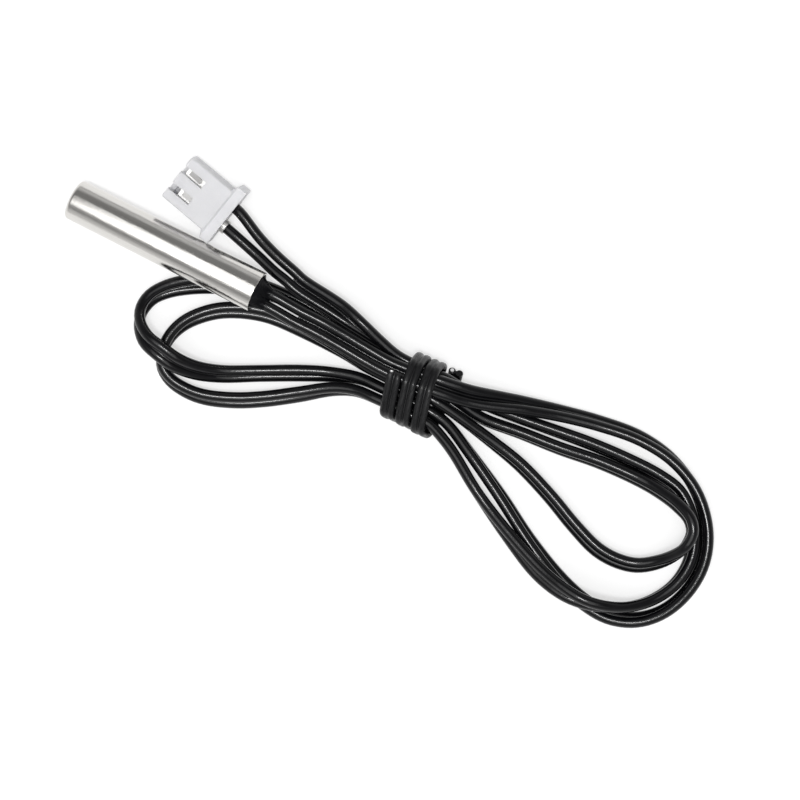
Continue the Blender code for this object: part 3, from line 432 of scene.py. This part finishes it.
def housing_place():
    """Frame of the connector: local X points out of its mating end, local Z out of its window side."""
    roll_cos, roll_sin = math.cos(HOUSING_ROLL), math.sin(HOUSING_ROLL)
    flange_drop = FLANGE_WIDTH / 2 * roll_sin + (PLUG_HEIGHT / 2 + FLANGE_BELOW) * roll_cos
    plug_drop = PLUG_WIDTH / 2 * roll_sin + PLUG_HEIGHT / 2 * roll_cos
    pitch = math.atan2(flange_drop - plug_drop, PLUG_LENGTH - FLANGE_LENGTH)
    height = flange_drop * math.cos(pitch) + FLANGE_LENGTH * math.sin(pitch)
    x, y = on_plan(*HOUSING_PLAN)
    return (
        Matrix.Translation((x, y, height + FIT / 5))
        @ Matrix.Rotation(HOUSING_HEADING + PLAN_TURN, 4, "Z")
        @ Matrix.Rotation(pitch, 4, "Y")
        @ Matrix.Rotation(-HOUSING_ROLL, 4, "X")
    )


# Camera, lamps and the studio's pale surfaces
CAMERA_DISTANCE = 400 * MM
CAMERA_HEIGHT = 402 * MM
VIEW_WIDTH = 96.15 * MM
FLOOR_REACH = 4
FLOOR_GREY = 0.78
FLOOR_GREY_SEEN = 0.45
FLOOR_GLOW_SEEN = 0.58


def add_camera():
    """A camera straight above the middle of the plan, with the plan upright in its view."""
    data = bpy.data.cameras.new("camera")
    data.lens_unit = "FOV"
    data.angle = 2 * math.atan(VIEW_WIDTH / 2 / CAMERA_DISTANCE)
    data.clip_start = 0.01
    camera = bpy.data.objects.new("camera", data)
    bpy.context.scene.collection.objects.link(camera)
    x, y = on_plan(0, 0)
    camera.location = (x, y, CAMERA_HEIGHT)
    camera.rotation_euler = (0, 0, PLAN_TURN)
    bpy.context.scene.camera = camera


def add_lamp(name, lean_degrees, distance, size, radiance):
    """A flat lamp overhead, facing the object and leaning towards -Y."""
    x, y = on_plan(0, 0)
    lean = math.radians(lean_degrees)
    data = bpy.data.lights.new(name, "AREA")
    data.shape = "RECTANGLE"
    data.size, data.size_y = size
    data.energy = radiance * math.pi * size[0] * size[1]
    lamp = bpy.data.objects.new(name, data)
    bpy.context.scene.collection.objects.link(lamp)
    lamp.location = (x, y - distance * math.sin(lean), distance * math.cos(lean))
    lamp.rotation_euler = (lean, 0, 0)
    lamp.visible_camera = False


def add_lamps():
    """A wide softbox, and a small bright panel inside it."""
    add_lamp("softbox", lean_degrees=8, distance=1.5, size=(1.3, 1.56), radiance=1.5)
    add_lamp("bright_panel", lean_degrees=6, distance=1.4, size=(0.36, 0.14), radiance=52)


# Shader helpers


def node(tree, kind, inputs=None, **settings):
    """A node with its settings, its input values and the links into it."""
    made = tree.nodes.new(kind)
    for name, value in settings.items():
        setattr(made, name, value)
    for key, value in (inputs or {}).items():
        if isinstance(value, bpy.types.NodeSocket):
            tree.links.new(value, made.inputs[key])
        else:
            made.inputs[key].default_value = value
    return made


def grain_group():
    """Noise in the object's own space, stretched, and spread between two values."""
    tree = bpy.data.node_groups.new("grain", "ShaderNodeTree")
    face = tree.interface
    for name, kind in (
        ("Scale", "NodeSocketFloat"),
        ("Stretch", "NodeSocketVector"),
        ("Low", "NodeSocketFloat"),
        ("High", "NodeSocketFloat"),
    ):
        face.new_socket(name, in_out="INPUT", socket_type=kind)
    face.new_socket("Value", in_out="OUTPUT", socket_type="NodeSocketFloat")
    given = node(tree, "NodeGroupInput").outputs
    place = node(tree, "ShaderNodeTexCoord").outputs["Object"]
    scaled = node(
        tree,
        "ShaderNodeVectorMath",
        {0: place, 1: given["Stretch"]},
        operation="MULTIPLY",
    )
    noise = node(
        tree,
        "ShaderNodeTexNoise",
        {"Vector": scaled.outputs[0], "Scale": given["Scale"], "Detail": 4.0, "Roughness": 0.6},
    )
    spread = node(
        tree,
        "ShaderNodeMapRange",
        {"Value": noise.outputs[0], 1: 0.3, 2: 0.7, 3: given["Low"], 4: given["High"]},
    )
    node(tree, "NodeGroupOutput", {"Value": spread.outputs[0]})
    return tree


GRAIN = grain_group()


def grain(tree, scale, low, high, stretch=(1, 1, 1)):
    """The grain's value at a scale per metre."""
    made = tree.nodes.new("ShaderNodeGroup")
    made.node_tree = GRAIN
    made.inputs["Scale"].default_value = scale
    made.inputs["Stretch"].default_value = stretch
    made.inputs["Low"].default_value = low
    made.inputs["High"].default_value = high
    return made.outputs["Value"]


def blend(tree, mask, first, second):
    """A colour between two, by a mask."""
    made = node(tree, "ShaderNodeMix", {0: mask}, data_type="RGBA")
    made.inputs[6].default_value = (*first, 1)
    made.inputs[7].default_value = (*second, 1)
    return made.outputs[2]


def bumped(tree, height, distance):
    """Normals raised by a height from 0 to 1 over a distance in metres."""
    made = node(tree, "ShaderNodeBump", {"Height": height, "Distance": distance})
    return made.outputs["Normal"]


def finish_of(name, colours, roughness, metallic=0.0, scale=900, stretch=(1, 1, 1), bump=None):
    """A material whose colour and roughness vary with the grain, and its tree and shader."""
    material = bpy.data.materials.new(name)
    material.use_nodes = True
    tree = material.node_tree
    shader = tree.nodes["Principled BSDF"]
    mask = grain(tree, scale, 0, 1, stretch)
    tree.links.new(blend(tree, mask, *colours), shader.inputs["Base Color"])
    rough = grain(tree, scale * 1.7, *roughness, stretch)
    tree.links.new(rough, shader.inputs["Roughness"])
    shader.inputs["Metallic"].default_value = metallic
    if bump:
        bump_scale, distance, bump_stretch = bump
        height = grain(tree, bump_scale, 0, 1, bump_stretch)
        tree.links.new(bumped(tree, height, distance), shader.inputs["Normal"])
    return material, shader


def steel_finish():
    """Drawn and polished stainless steel: fine lines run along the sleeve's local Z."""
    along = (1, 1, 0.03)
    material, _ = finish_of(
        "polished_steel",
        ((0.64, 0.625, 0.60), (0.71, 0.695, 0.67)),
        (0.12, 0.2),
        1.0,
        2500,
        along,
        (6000, 0.005 * MM, (1, 1, 0.12)),
    )
    return material


def resin_finish():
    """Cast black resin: glossy, with a slightly uneven skin."""
    material, shader = finish_of(
        "black_resin",
        ((0.002, 0.002, 0.0025), (0.005, 0.005, 0.006)),
        (0.05, 0.12),
        0.0,
        500,
        bump=(420, 0.12 * MM, (1, 1, 1)),
    )
    shader.inputs["IOR"].default_value = 1.17
    return material


def lead_finish():
    """Extruded insulation: semi-gloss, with a faint orange peel and soft scuffs."""
    material, shader = finish_of(
        "lead_insulation",
        ((0.002, 0.002, 0.0025), (0.005, 0.005, 0.006)),
        (0.11, 0.18),
        0.0,
        700,
        bump=(2200, 0.004 * MM, (1, 1, 1)),
    )
    shader.inputs["IOR"].default_value = 1.38
    return material


def nylon_finish():
    """Natural nylon: milky, with light spreading inside it."""
    material, shader = finish_of(
        "natural_nylon",
        ((0.62, 0.62, 0.64), (0.66, 0.66, 0.68)),
        (0.34, 0.46),
        0.0,
        260,
        bump=(5200, 0.006 * MM, (1, 1, 1)),
    )
    shader.inputs["Subsurface Weight"].default_value = 0.7
    shader.inputs["Subsurface Radius"].default_value = (1.0, 1.0, 1.05)
    shader.inputs["Subsurface Scale"].default_value = 1.8 * MM
    return material


def tie_finish():
    """Dull ribbon plastic, with fine drawn streaks that run round the bundle."""
    material, shader = finish_of(
        "tie_plastic",
        ((0.002, 0.002, 0.0025), (0.006, 0.006, 0.007)),
        (0.22, 0.5),
        0.0,
        1500,
        (1, 0.12, 0.12),
        (3600, 0.03 * MM, (1, 0.1, 0.1)),
    )
    shader.inputs["IOR"].default_value = 1.4
    return material


def metal_finish(name, dark, light, roughness, stretch=(1, 1, 1), scale=3000):
    """A plain metal between two colours."""
    material, _ = finish_of(
        name, (dark, light), roughness, 1.0, scale, stretch, (scale * 2, 0.004 * MM, stretch)
    )
    return material


def plastic_finish(name, dark, light, roughness, scale=1500):
    """A plain plastic or glass between two colours."""
    material, _ = finish_of(
        name, (dark, light), roughness, 0.0, scale, bump=(scale * 2, 0.006 * MM, (1, 1, 1))
    )
    return material


STEEL = steel_finish()
RESIN = resin_finish()
LEAD_PVC = lead_finish()
NYLON = nylon_finish()
TIE_PLASTIC = tie_finish()
TIE_STEEL = metal_finish("tie_steel", (0.86, 0.86, 0.86), (0.93, 0.93, 0.93), (0.45, 0.6))
TIN = metal_finish("tin_plate", (0.82, 0.81, 0.79), (0.92, 0.91, 0.89), (0.38, 0.52))
COPPER_STRANDS = metal_finish("tinned_strands", (0.58, 0.56, 0.53), (0.74, 0.72, 0.70), (0.25, 0.4))
SOLDER = metal_finish("solder", (0.52, 0.52, 0.54), (0.66, 0.66, 0.67), (0.25, 0.45))
BEAD_WIRE = metal_finish("bead_wire", (0.66, 0.64, 0.60), (0.80, 0.78, 0.74), (0.2, 0.35))
BEAD_GLASS = plastic_finish("bead_glass", (0.24, 0.07, 0.03), (0.36, 0.12, 0.05), (0.12, 0.25))
TUBING = plastic_finish("clear_tubing", (0.68, 0.65, 0.55), (0.78, 0.75, 0.66), (0.4, 0.55))

CARRIED_FINISHES = {
    "thermistor_bead": BEAD_GLASS,
    "bead_wire_a": BEAD_WIRE,
    "bead_wire_b": BEAD_WIRE,
    "wire_tubing_a": TUBING,
    "wire_tubing_b": TUBING,
    "solder_joint_a": SOLDER,
    "solder_joint_b": SOLDER,
    "probe_strands_a": COPPER_STRANDS,
    "probe_strands_b": COPPER_STRANDS,
    "plug_strands_a": COPPER_STRANDS,
    "plug_strands_b": COPPER_STRANDS,
    "crimp_contact_a": TIN,
    "crimp_contact_b": TIN,
}


def floor_finish():
    """Pale floor, whiter to the eye than to the light that it gives back."""
    material = bpy.data.materials.new("studio_floor")
    material.use_nodes = True
    tree = material.node_tree
    shader = tree.nodes["Principled BSDF"]
    shader.inputs["Roughness"].default_value = 0.9
    shader.inputs["Specular IOR Level"].default_value = 0.0
    ray = node(tree, "ShaderNodeLightPath").outputs
    seen = node(
        tree,
        "ShaderNodeMath",
        {0: ray["Is Camera Ray"], 1: ray["Is Glossy Ray"]},
        operation="MAXIMUM",
    )
    seen = node(
        tree,
        "ShaderNodeMath",
        {0: seen.outputs[0], 1: ray["Is Transmission Ray"]},
        operation="MAXIMUM",
    ).outputs[0]
    colour = blend(tree, seen, [FLOOR_GREY] * 3, [FLOOR_GREY_SEEN] * 3)
    tree.links.new(colour, shader.inputs["Base Color"])
    glow = blend(tree, seen, [0] * 3, [FLOOR_GLOW_SEEN] * 3)
    tree.links.new(glow, shader.inputs["Emission Color"])
    shader.inputs["Emission Strength"].default_value = 1.0
    return material


def add_floor():
    """The floor, which isn't part of the object."""
    mesh = bpy.data.meshes.new("studio_floor")
    plane = bmesh.new()
    bmesh.ops.create_grid(plane, x_segments=1, y_segments=1, size=FLOOR_REACH)
    plane.to_mesh(mesh)
    plane.free()
    floor = bpy.data.objects.new("studio_floor", mesh)
    bpy.context.scene.collection.objects.link(floor)
    mesh.materials.append(floor_finish())


def grey_ramp(tree, value, stops):
    """Greys along a value, from pairs of a place and a level."""
    ramp = node(tree, "ShaderNodeValToRGB", {0: value})
    elements = ramp.color_ramp.elements
    (first, low), *between, (last, high) = stops
    elements[0].position, elements[0].color = first, (low, low, low, 1)
    elements[1].position, elements[1].color = last, (high, high, high, 1)
    for place, level in between:
        elements.new(place).color = (level, level, level, 1)
    return ramp.outputs[0]


def add_world():
    """The studio: dim overhead, with paler walls and one that is bright up to the softbox."""
    world = bpy.data.worlds.new("studio")
    bpy.context.scene.world = world
    world.use_nodes = True
    tree = world.node_tree
    direction = node(tree, "ShaderNodeTexCoord").outputs["Generated"]
    split = node(tree, "ShaderNodeSeparateXYZ", {0: direction}).outputs
    far_stops = ((0.0, 0.4), (0.22, 0.62), (0.33, 0.6), (0.42, 0.45), (0.54, 0.24), (1.0, 0.22))
    far_wall = grey_ramp(tree, split["Z"], far_stops)
    near_stops = ((0.0, 0.8), (0.33, 0.6), (0.52, 0.3), (0.64, 0.32), (0.77, 0.64), (0.85, 1.0))
    near_wall = grey_ramp(tree, split["Z"], near_stops)
    side = node(
        tree, "ShaderNodeMapRange", {"Value": split["Y"], 1: -0.25, 2: 0.05}
    ).outputs[0]
    walls = node(tree, "ShaderNodeMix", {0: side, 6: near_wall, 7: far_wall}, data_type="RGBA")
    ray = node(tree, "ShaderNodeLightPath").outputs["Is Camera Ray"]
    seen = node(tree, "ShaderNodeMix", {0: ray, 6: walls.outputs[2]}, data_type="RGBA")
    seen.inputs[7].default_value = (1, 1, 1, 1)
    tree.links.new(seen.outputs[2], tree.nodes["Background"].inputs["Color"])


# Mesh helpers


def add_piece(name, mesh, material, slot, *nodes):
    """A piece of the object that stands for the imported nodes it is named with."""
    piece = bpy.data.objects.new(name, mesh)
    bpy.context.scene.collection.objects.link(piece)
    mesh.materials.append(material)
    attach(piece, "root")
    if nodes:
        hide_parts(*nodes)
    return piece


def smooth(mesh, angle=35):
    """Smooth shading, with an edge kept sharp where the surface turns by more than the angle."""
    mesh.shade_smooth()
    mesh.set_sharp_from_angle(angle=math.radians(angle))


def add_sweep(bm, centres, outward, outline, hole=()):
    """Adds a closed sweep of an outline that keeps facing the outward directions."""
    tangents = np.gradient(centres, axis=0)
    tangents /= np.linalg.norm(tangents, axis=1)[:, None]
    wide = np.cross(tangents, outward)
    wide /= np.linalg.norm(wide, axis=1)[:, None]
    thick = np.cross(wide, tangents)
    start_edges, end_edges = [], []
    for loop in filter(len, (outline, hole)):
        rings = []
        for centre, across, up in zip(centres, wide, thick):
            rings.append([bm.verts.new(centre + a * across + b * up) for a, b in loop])
        for first, second in zip(rings, rings[1:]):
            for i in range(len(loop)):
                bm.faces.new((first[i - 1], first[i], second[i], second[i - 1]))
        for edges, ring in ((start_edges, rings[0]), (end_edges, rings[-1])):
            edges += [bm.edges.get((ring[i - 1], ring[i])) for i in range(len(ring))]
    for edges in (start_edges, end_edges):
        bmesh.ops.triangle_fill(bm, edges=edges, use_beauty=True)


def mesh_of(bm, name, angle=35):
    """The built shape as a mesh with its faces turned outwards."""
    bmesh.ops.recalc_face_normals(bm, faces=bm.faces)
    mesh = bpy.data.meshes.new(name)
    bm.to_mesh(mesh)
    bm.free()
    smooth(mesh, angle)
    return mesh


# Frame of the probe: local Z runs from the sleeve's tip to its mouth, local Y is the part's Y
SLEEVE_RADIUS = SLEEVE_DIAMETER / 2
BORE_RADIUS = SLEEVE_RADIUS - SLEEVE_WALL
TILT_COS, TILT_SIN = math.cos(SLEEVE_TILT), math.sin(SLEEVE_TILT)
TIP_HEIGHT = (SLEEVE_RADIUS - TIP_ROUND) * TILT_COS + TIP_ROUND * (1 - TILT_SIN)
BACK_REACH = TIP_ROUND * (TILT_COS - 1) - (SLEEVE_RADIUS - TIP_ROUND) * TILT_SIN
FRONT_REACH = (SLEEVE_LENGTH + MENISCUS) * TILT_COS + MENISCUS_TOP_RADIUS * TILT_SIN
TIP_X = -(BACK_REACH + FRONT_REACH) / 2
PROBE_PLACE = Matrix.Translation((TIP_X, 0, TIP_HEIGHT)) @ Matrix.Rotation(
    math.pi / 2 - SLEEVE_TILT, 4, "Y"
)
LEAD = LeadLine(ROUTE)
TIE_ORIGIN, TIE_ALONG, TIE_ACROSS = tie_frame()
BUNDLE = bundle_passes()
HOUSING_PLACE = housing_place()
WIRE_LEVEL = CORE_RADIUS + FIT + GRIP_WALL - (CAVITY_HEIGHT / 2 - 2 * FIT)

# Fineness of the dressed shapes
TURN_STEPS = 128
CORE_SIDES = 20
RIDGE_SIDES = 12
TIE_FINE_STEPS = 4
NECK_SIDES = 96
NECK_STEPS = 18
LEAD_STEP = 0.6 * MM
MIDDLE_POINTS = 900

# Resin: how full its neck stays beside the cores, and how closely it hugs them
NECK_FULLNESS = 0.62
CORE_SNUG = 0.04 * MM
BORE_SNUG = 0.02 * MM

# Web of the lead: where it meets the cores, and how fast it swells into them
WEB_REACH = 0.17 * MM
WEB_SWELL = 4.5 / MM

# Tie: half the thickness between its ridges, how far they stand apart, and the bared wire
TIE_VALLEY = 0.15 * MM
TIE_SPREAD = 1.12
WIRE_STUB = 0.25 * MM

# Housing: the slant of its end faces, the level at which they keep their place, and its windows
END_DRAFT = 0.153
END_DRAFT_LEVEL = -0.72 * MM
WINDOW_SHORTER = 0.35 * MM
SOFT_EDGE = 0.06 * MM


def sleeve_piece():
    """The drawn steel sleeve, with its tip rounded over and its cut mouth broken at both edges."""
    inner_round = TIP_ROUND - SLEEVE_WALL / 2
    arcs = [
        (BORE_RADIUS - inner_round, TIP_WALL + inner_round, inner_round, -90, 0, 6),
        (BORE_RADIUS + RIM_ROUND, SLEEVE_LENGTH - RIM_ROUND, RIM_ROUND, 180, 90, 4),
        (SLEEVE_RADIUS - RIM_ROUND, SLEEVE_LENGTH - RIM_ROUND, RIM_ROUND, 90, 0, 4),
        (SLEEVE_RADIUS - TIP_ROUND, TIP_ROUND, TIP_ROUND, 0, -90, 12),
    ]
    profile = [(0, TIP_WALL)]
    for centre, height, radius, start, end, steps in arcs:
        for i in range(steps + 1):
            angle = math.radians(start + (end - start) * i / steps)
            profile.append((centre + radius * math.cos(angle), height + radius * math.sin(angle)))
    profile.append((0, 0))
    bm = bmesh.new()
    verts = [bm.verts.new((radius, 0, height)) for radius, height in profile]
    edges = [bm.edges.new(pair) for pair in zip(verts, verts[1:])]
    bmesh.ops.spin(
        bm,
        geom=verts + edges,
        cent=(0, 0, 0),
        axis=(0, 0, 1),
        angle=2 * math.pi,
        steps=TURN_STEPS,
        use_merge=True,
    )
    bmesh.ops.remove_doubles(bm, verts=bm.verts, dist=1e-7)
    mesh = mesh_of(bm, "steel_sleeve")
    sleeve = bpy.data.objects.new("steel_sleeve", mesh)
    bpy.context.scene.collection.objects.link(sleeve)
    mesh.materials.append(STEEL)
    sleeve.matrix_world = PROBE_PLACE
    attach(sleeve, "root")
    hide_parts("probe_sleeve")


def neck_radius(angle, half, radius):
    """How far the outline of two cores side by side lies from their middle in one direction."""
    across, up = abs(math.cos(angle)), abs(math.sin(angle))
    return half * across + math.sqrt(max(radius**2 - (half * up) ** 2, 0)) + BORE_SNUG


def resin_piece():
    """The potting: flush in the mouth, then drawn up the two cores in a hollow fillet."""
    half = CORE_PITCH / 2
    snug = CORE_RADIUS - CORE_SNUG
    inside = BORE_RADIUS - BORE_SNUG
    rings = [(SLEEVE_LENGTH - 2 * MM, 0.0, 0.0)]
    for i in range(NECK_STEPS + 1):
        climb = i / NECK_STEPS
        height = SLEEVE_LENGTH - 0.1 * MM + (MENISCUS + 0.1 * MM) * climb
        rings.append((height, 1 - (1 - climb) ** 2, climb))
    bm = bmesh.new()
    loops = []
    for height, closing, dipping in rings:
        loop = []
        for k in range(NECK_SIDES):
            angle = 2 * math.pi * k / NECK_SIDES
            neck = neck_radius(angle, half, snug)
            fullness = NECK_FULLNESS + (1 - NECK_FULLNESS) * math.cos(angle) ** 2
            filled = max(neck, MENISCUS_TOP_RADIUS * fullness)
            goal = filled + (neck - filled) * dipping
            reach = inside + (goal - inside) * closing
            y = reach * math.cos(angle) + LEAD_OFFSET * closing
            loop.append(bm.verts.new((reach * math.sin(angle), y, height)))
        loops.append(loop)
    for first, second in zip(loops, loops[1:]):
        for k in range(NECK_SIDES):
            bm.faces.new((first[k - 1], first[k], second[k], second[k - 1]))
    bm.faces.new(loops[0])
    bm.faces.new(loops[-1])
    mesh = mesh_of(bm, "potting_fillet", 60)
    mesh.transform(PROBE_PLACE)
    add_piece("potting_fillet", mesh, RESIN, "black_resin", "potting_resin")


def lead_lines():
    """Centre lines of both cores from inside the potting to the crimps, and their middle."""
    lines = {}
    for letter, side in (("a", 1), ("b", -1)):
        axis = LEAD_OFFSET - side * CORE_PITCH / 2
        heights = [CORE_START, SLEEVE_LENGTH, SLEEVE_LENGTH + MENISCUS]
        start = [tuple(PROBE_PLACE @ Vector((0, axis, height))) for height in heights]
        middle = [tuple(p) for p in LEAD.core(side)[:: ROUTE_STEPS // 4]]
        split = [(*on_plan(u, v), z * MM) for u, v, z in CORE_ROUTES[letter]]
        y = -side * CIRCUIT_PITCH / 2
        end = CONTACT_START + GRIP_LENGTH + 2 * CONTACT_METAL - CONTACT_SETBACK[letter]
        reaches = [-CORE_RADIUS - CONTACT_SETBACK[letter], end / 2, end]
        entry = [tuple(HOUSING_PLACE @ Vector((x, y, WIRE_LEVEL))) for x in reaches]
        lines[letter] = smooth_line(start + middle + split + entry, 6)
    return lines


def run_lengths(points):
    """How far along a line each of its points lies."""
    return np.concatenate([[0], np.cumsum(np.linalg.norm(np.diff(points, axis=0), axis=1))])


def resampled(points, count):
    """A number of points spaced evenly along a line."""
    lengths = run_lengths(points)
    marks = np.linspace(0, lengths[-1], count)
    return np.stack([np.interp(marks, lengths, points[:, k]) for k in range(3)], axis=1)


def steady_outward(points):
    """Directions square to a line that turn no more than it does."""
    tangents = np.gradient(points, axis=0)
    tangents /= np.linalg.norm(tangents, axis=1)[:, None]
    facing = np.cross(tangents[0], [0, 1, 0])
    outward = []
    for tangent in tangents:
        facing = facing - tangent * (facing @ tangent)
        facing /= np.linalg.norm(facing)
        outward.append(facing)
    return np.array(outward)


def web_outline():
    """The thin web: flat in its middle, swelling into each core."""
    top = []
    for i in range(9):
        across = WEB_REACH * (1 - i / 4)
        top.append((across, WEB_HALF + WEB_SWELL * across**2))
    return top + [(a, -b) for a, b in reversed(top)]


def lead_piece():
    """Both insulated cores and the web between them."""
    bm = bmesh.new()
    lines = lead_lines()
    for line in lines.values():
        points = resampled(line, int(run_lengths(line)[-1] / LEAD_STEP) + 1)
        ring = round_outline(0, CORE_RADIUS, CORE_SIDES)
        add_sweep(bm, points, steady_outward(points), ring)
    marks = np.searchsorted(LEAD.length, np.arange(0, LEAD.length[-1], LEAD_STEP))
    up = np.cross(LEAD.to_core, LEAD.tangent)
    add_sweep(bm, LEAD.centre[marks], up[marks], web_outline())
    mesh = mesh_of(bm, "lead_insulation", 40)
    lead = add_piece("lead_insulation", mesh, LEAD_PVC, "lead_pvc", "twin_lead")
    first, second = (resampled(line, MIDDLE_POINTS) for line in lines.values())
    return lead, (first + second) / 2


def unit(vector):
    """The vector's direction, at length 1."""
    return vector / np.linalg.norm(vector)


def tie_pieces():
    """The ribbon with its two ridges, and the wire that shows at its cut ends."""
    wound = smooth_line(np.hstack(ribbon_path()), TIE_FINE_STEPS)
    centres, outward = wound[:, :3], wound[:, 3:]
    ridge = TIE_SPREAD * TIE_RIDGE_PITCH / 2
    bm = bmesh.new()
    shape = ridged_outline(TIE_RIDGE_RADIUS, TIE_RIDGE_PITCH, TIE_VALLEY, RIDGE_SIDES)
    outline = [(TIE_SPREAD * across, up) for across, up in shape]
    hole = round_outline(ridge, TIE_WIRE_RADIUS + FIT / 2, RIDGE_SIDES)
    add_sweep(bm, centres, outward, outline, hole)
    ribbon = add_piece(
        "tie_band", mesh_of(bm, "tie_band", 50), TIE_PLASTIC, "tie_plastic", "tie_ribbon"
    )
    bm = bmesh.new()
    first = centres[0] + WIRE_STUB * unit(centres[0] - centres[1])
    last = centres[-1] + WIRE_STUB * unit(centres[-1] - centres[-2])
    centres = np.vstack([first, centres, last])
    outward = np.vstack([outward[:1], outward, outward[-1:]])
    add_sweep(bm, centres, outward, round_outline(ridge, TIE_WIRE_RADIUS, RIDGE_SIDES))
    wire = add_piece("tie_core", mesh_of(bm, "tie_core"), TIE_STEEL, "tie_steel", "tie_wire")
    return ribbon, wire


def box_object(name, low, high):
    """A helper box in the housing's frame that never shows."""
    bm = bmesh.new()
    bmesh.ops.create_cube(bm, size=1)
    low, high = Vector(low), Vector(high)
    bmesh.ops.scale(bm, vec=high - low, verts=bm.verts)
    bmesh.ops.translate(bm, vec=(low + high) / 2, verts=bm.verts)
    mesh = bpy.data.meshes.new(name)
    bm.to_mesh(mesh)
    bm.free()
    helper = bpy.data.objects.new(name, mesh)
    bpy.context.scene.collection.objects.link(helper)
    return helper


def applied(target, helpers, operation):
    """The target's mesh with each helper united with it or cut from it; the helpers go."""
    for helper in helpers:
        boolean = target.modifiers.new(helper.name, "BOOLEAN")
        boolean.operation = operation
        boolean.object = helper
    bpy.context.view_layer.update()
    graph = bpy.context.evaluated_depsgraph_get()
    mesh = bpy.data.meshes.new_from_object(target.evaluated_get(graph))
    target.modifiers.clear()
    target.data = mesh
    for helper in helpers:
        bpy.data.objects.remove(helper)


def flange_box():
    """The flange, drawn in to the plug by a ramp at its front."""
    half_height = PLUG_HEIGHT / 2
    flange = box_object(
        "flange_shape",
        (0, -FLANGE_WIDTH / 2, -half_height - FLANGE_BELOW),
        (FLANGE_LENGTH, FLANGE_WIDTH / 2, half_height + FLANGE_ABOVE),
    )
    bm = bmesh.new()
    bm.from_mesh(flange.data)
    front = [f for f in bm.faces if f.normal.x > 0.9]
    ramp = bmesh.ops.extrude_face_region(bm, geom=front)
    moved = [v for v in ramp["geom"] if isinstance(v, bmesh.types.BMVert)]
    bmesh.ops.delete(bm, geom=front, context="FACES_ONLY")
    bmesh.ops.translate(bm, vec=(FLANGE_RAMP, 0, 0), verts=moved)
    narrow = (PLUG_WIDTH - 2 * PLUG_EDGE) / FLANGE_WIDTH
    bmesh.ops.scale(bm, vec=(1, narrow, 1), verts=moved)
    for vertex in moved:
        vertex.co.z = math.copysign(half_height - PLUG_EDGE, vertex.co.z)
    bmesh.ops.recalc_face_normals(bm, faces=bm.faces)
    bm.to_mesh(flange.data)
    bm.free()
    return flange


def drafted_place():
    """The housing's place, with its end faces slanted and its underside clear of the floor."""
    draft = Matrix.Identity(4)
    draft[0][2] = -END_DRAFT
    draft[0][3] = END_DRAFT * END_DRAFT_LEVEL
    draft[2][3] = FIT
    return HOUSING_PLACE @ draft


def housing_piece():
    """The moulded housing with its cavities, pin openings and windows, and soft moulded edges."""
    half_width, half_height = PLUG_WIDTH / 2, PLUG_HEIGHT / 2
    housing = box_object(
        "housing_shell", (0, -half_width, -half_height), (PLUG_LENGTH, half_width, half_height)
    )
    bevel = housing.modifiers.new("moulded_edges", "BEVEL")
    bevel.width = PLUG_EDGE
    bevel.segments = 4
    applied(housing, [flange_box()], "UNION")
    cutters = []
    for letter, side in (("a", -1), ("b", 1)):
        y = side * CIRCUIT_PITCH / 2
        cutters.append(
            box_object(
                f"cavity_{letter}",
                (-FLANGE_LENGTH, y - CAVITY_WIDTH / 2, -CAVITY_HEIGHT / 2),
                (PLUG_LENGTH - FRONT_WALL, y + CAVITY_WIDTH / 2, CAVITY_HEIGHT / 2),
            )
        )
        cutters.append(
            box_object(
                f"pin_opening_{letter}",
                (PLUG_LENGTH / 2, y - PIN_OPENING_WIDTH / 2, -PIN_OPENING_HEIGHT / 2),
                (2 * PLUG_LENGTH, y + PIN_OPENING_WIDTH / 2, PIN_OPENING_HEIGHT / 2),
            )
        )
        cutters.append(
            box_object(
                f"window_{letter}",
                (PLUG_LENGTH - WINDOW_LENGTH + WINDOW_SHORTER, y - WINDOW_WIDTH / 2, 0),
                (2 * PLUG_LENGTH, y + WINDOW_WIDTH / 2, PLUG_HEIGHT),
            )
        )
    applied(housing, cutters, "DIFFERENCE")
    housing.data.transform(drafted_place())
    housing.data.materials.clear()
    housing.data.materials.append(NYLON)
    smooth(housing.data, 30)
    soften = housing.modifiers.new("soft_edges", "BEVEL")
    soften.width = SOFT_EDGE
    soften.segments = 2
    soften.limit_method = "ANGLE"
    soften.angle_limit = math.radians(40)
    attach(housing, "root")
    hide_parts("connector_housing")
    return housing


def dress_carried_nodes():
    """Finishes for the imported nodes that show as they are."""
    for name, finish in CARRIED_FINISHES.items():
        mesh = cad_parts[name].data
        mesh.materials.clear()
        mesh.materials.append(finish)


bpy.context.scene.view_settings.view_transform = "Standard"
add_camera()
lead_object, lead_middle = lead_piece()
sleeve_piece()
resin_piece()
housing_object = housing_piece()
ribbon_object, wire_object = tie_pieces()
dress_carried_nodes()
add_floor()
add_world()
add_lamps()
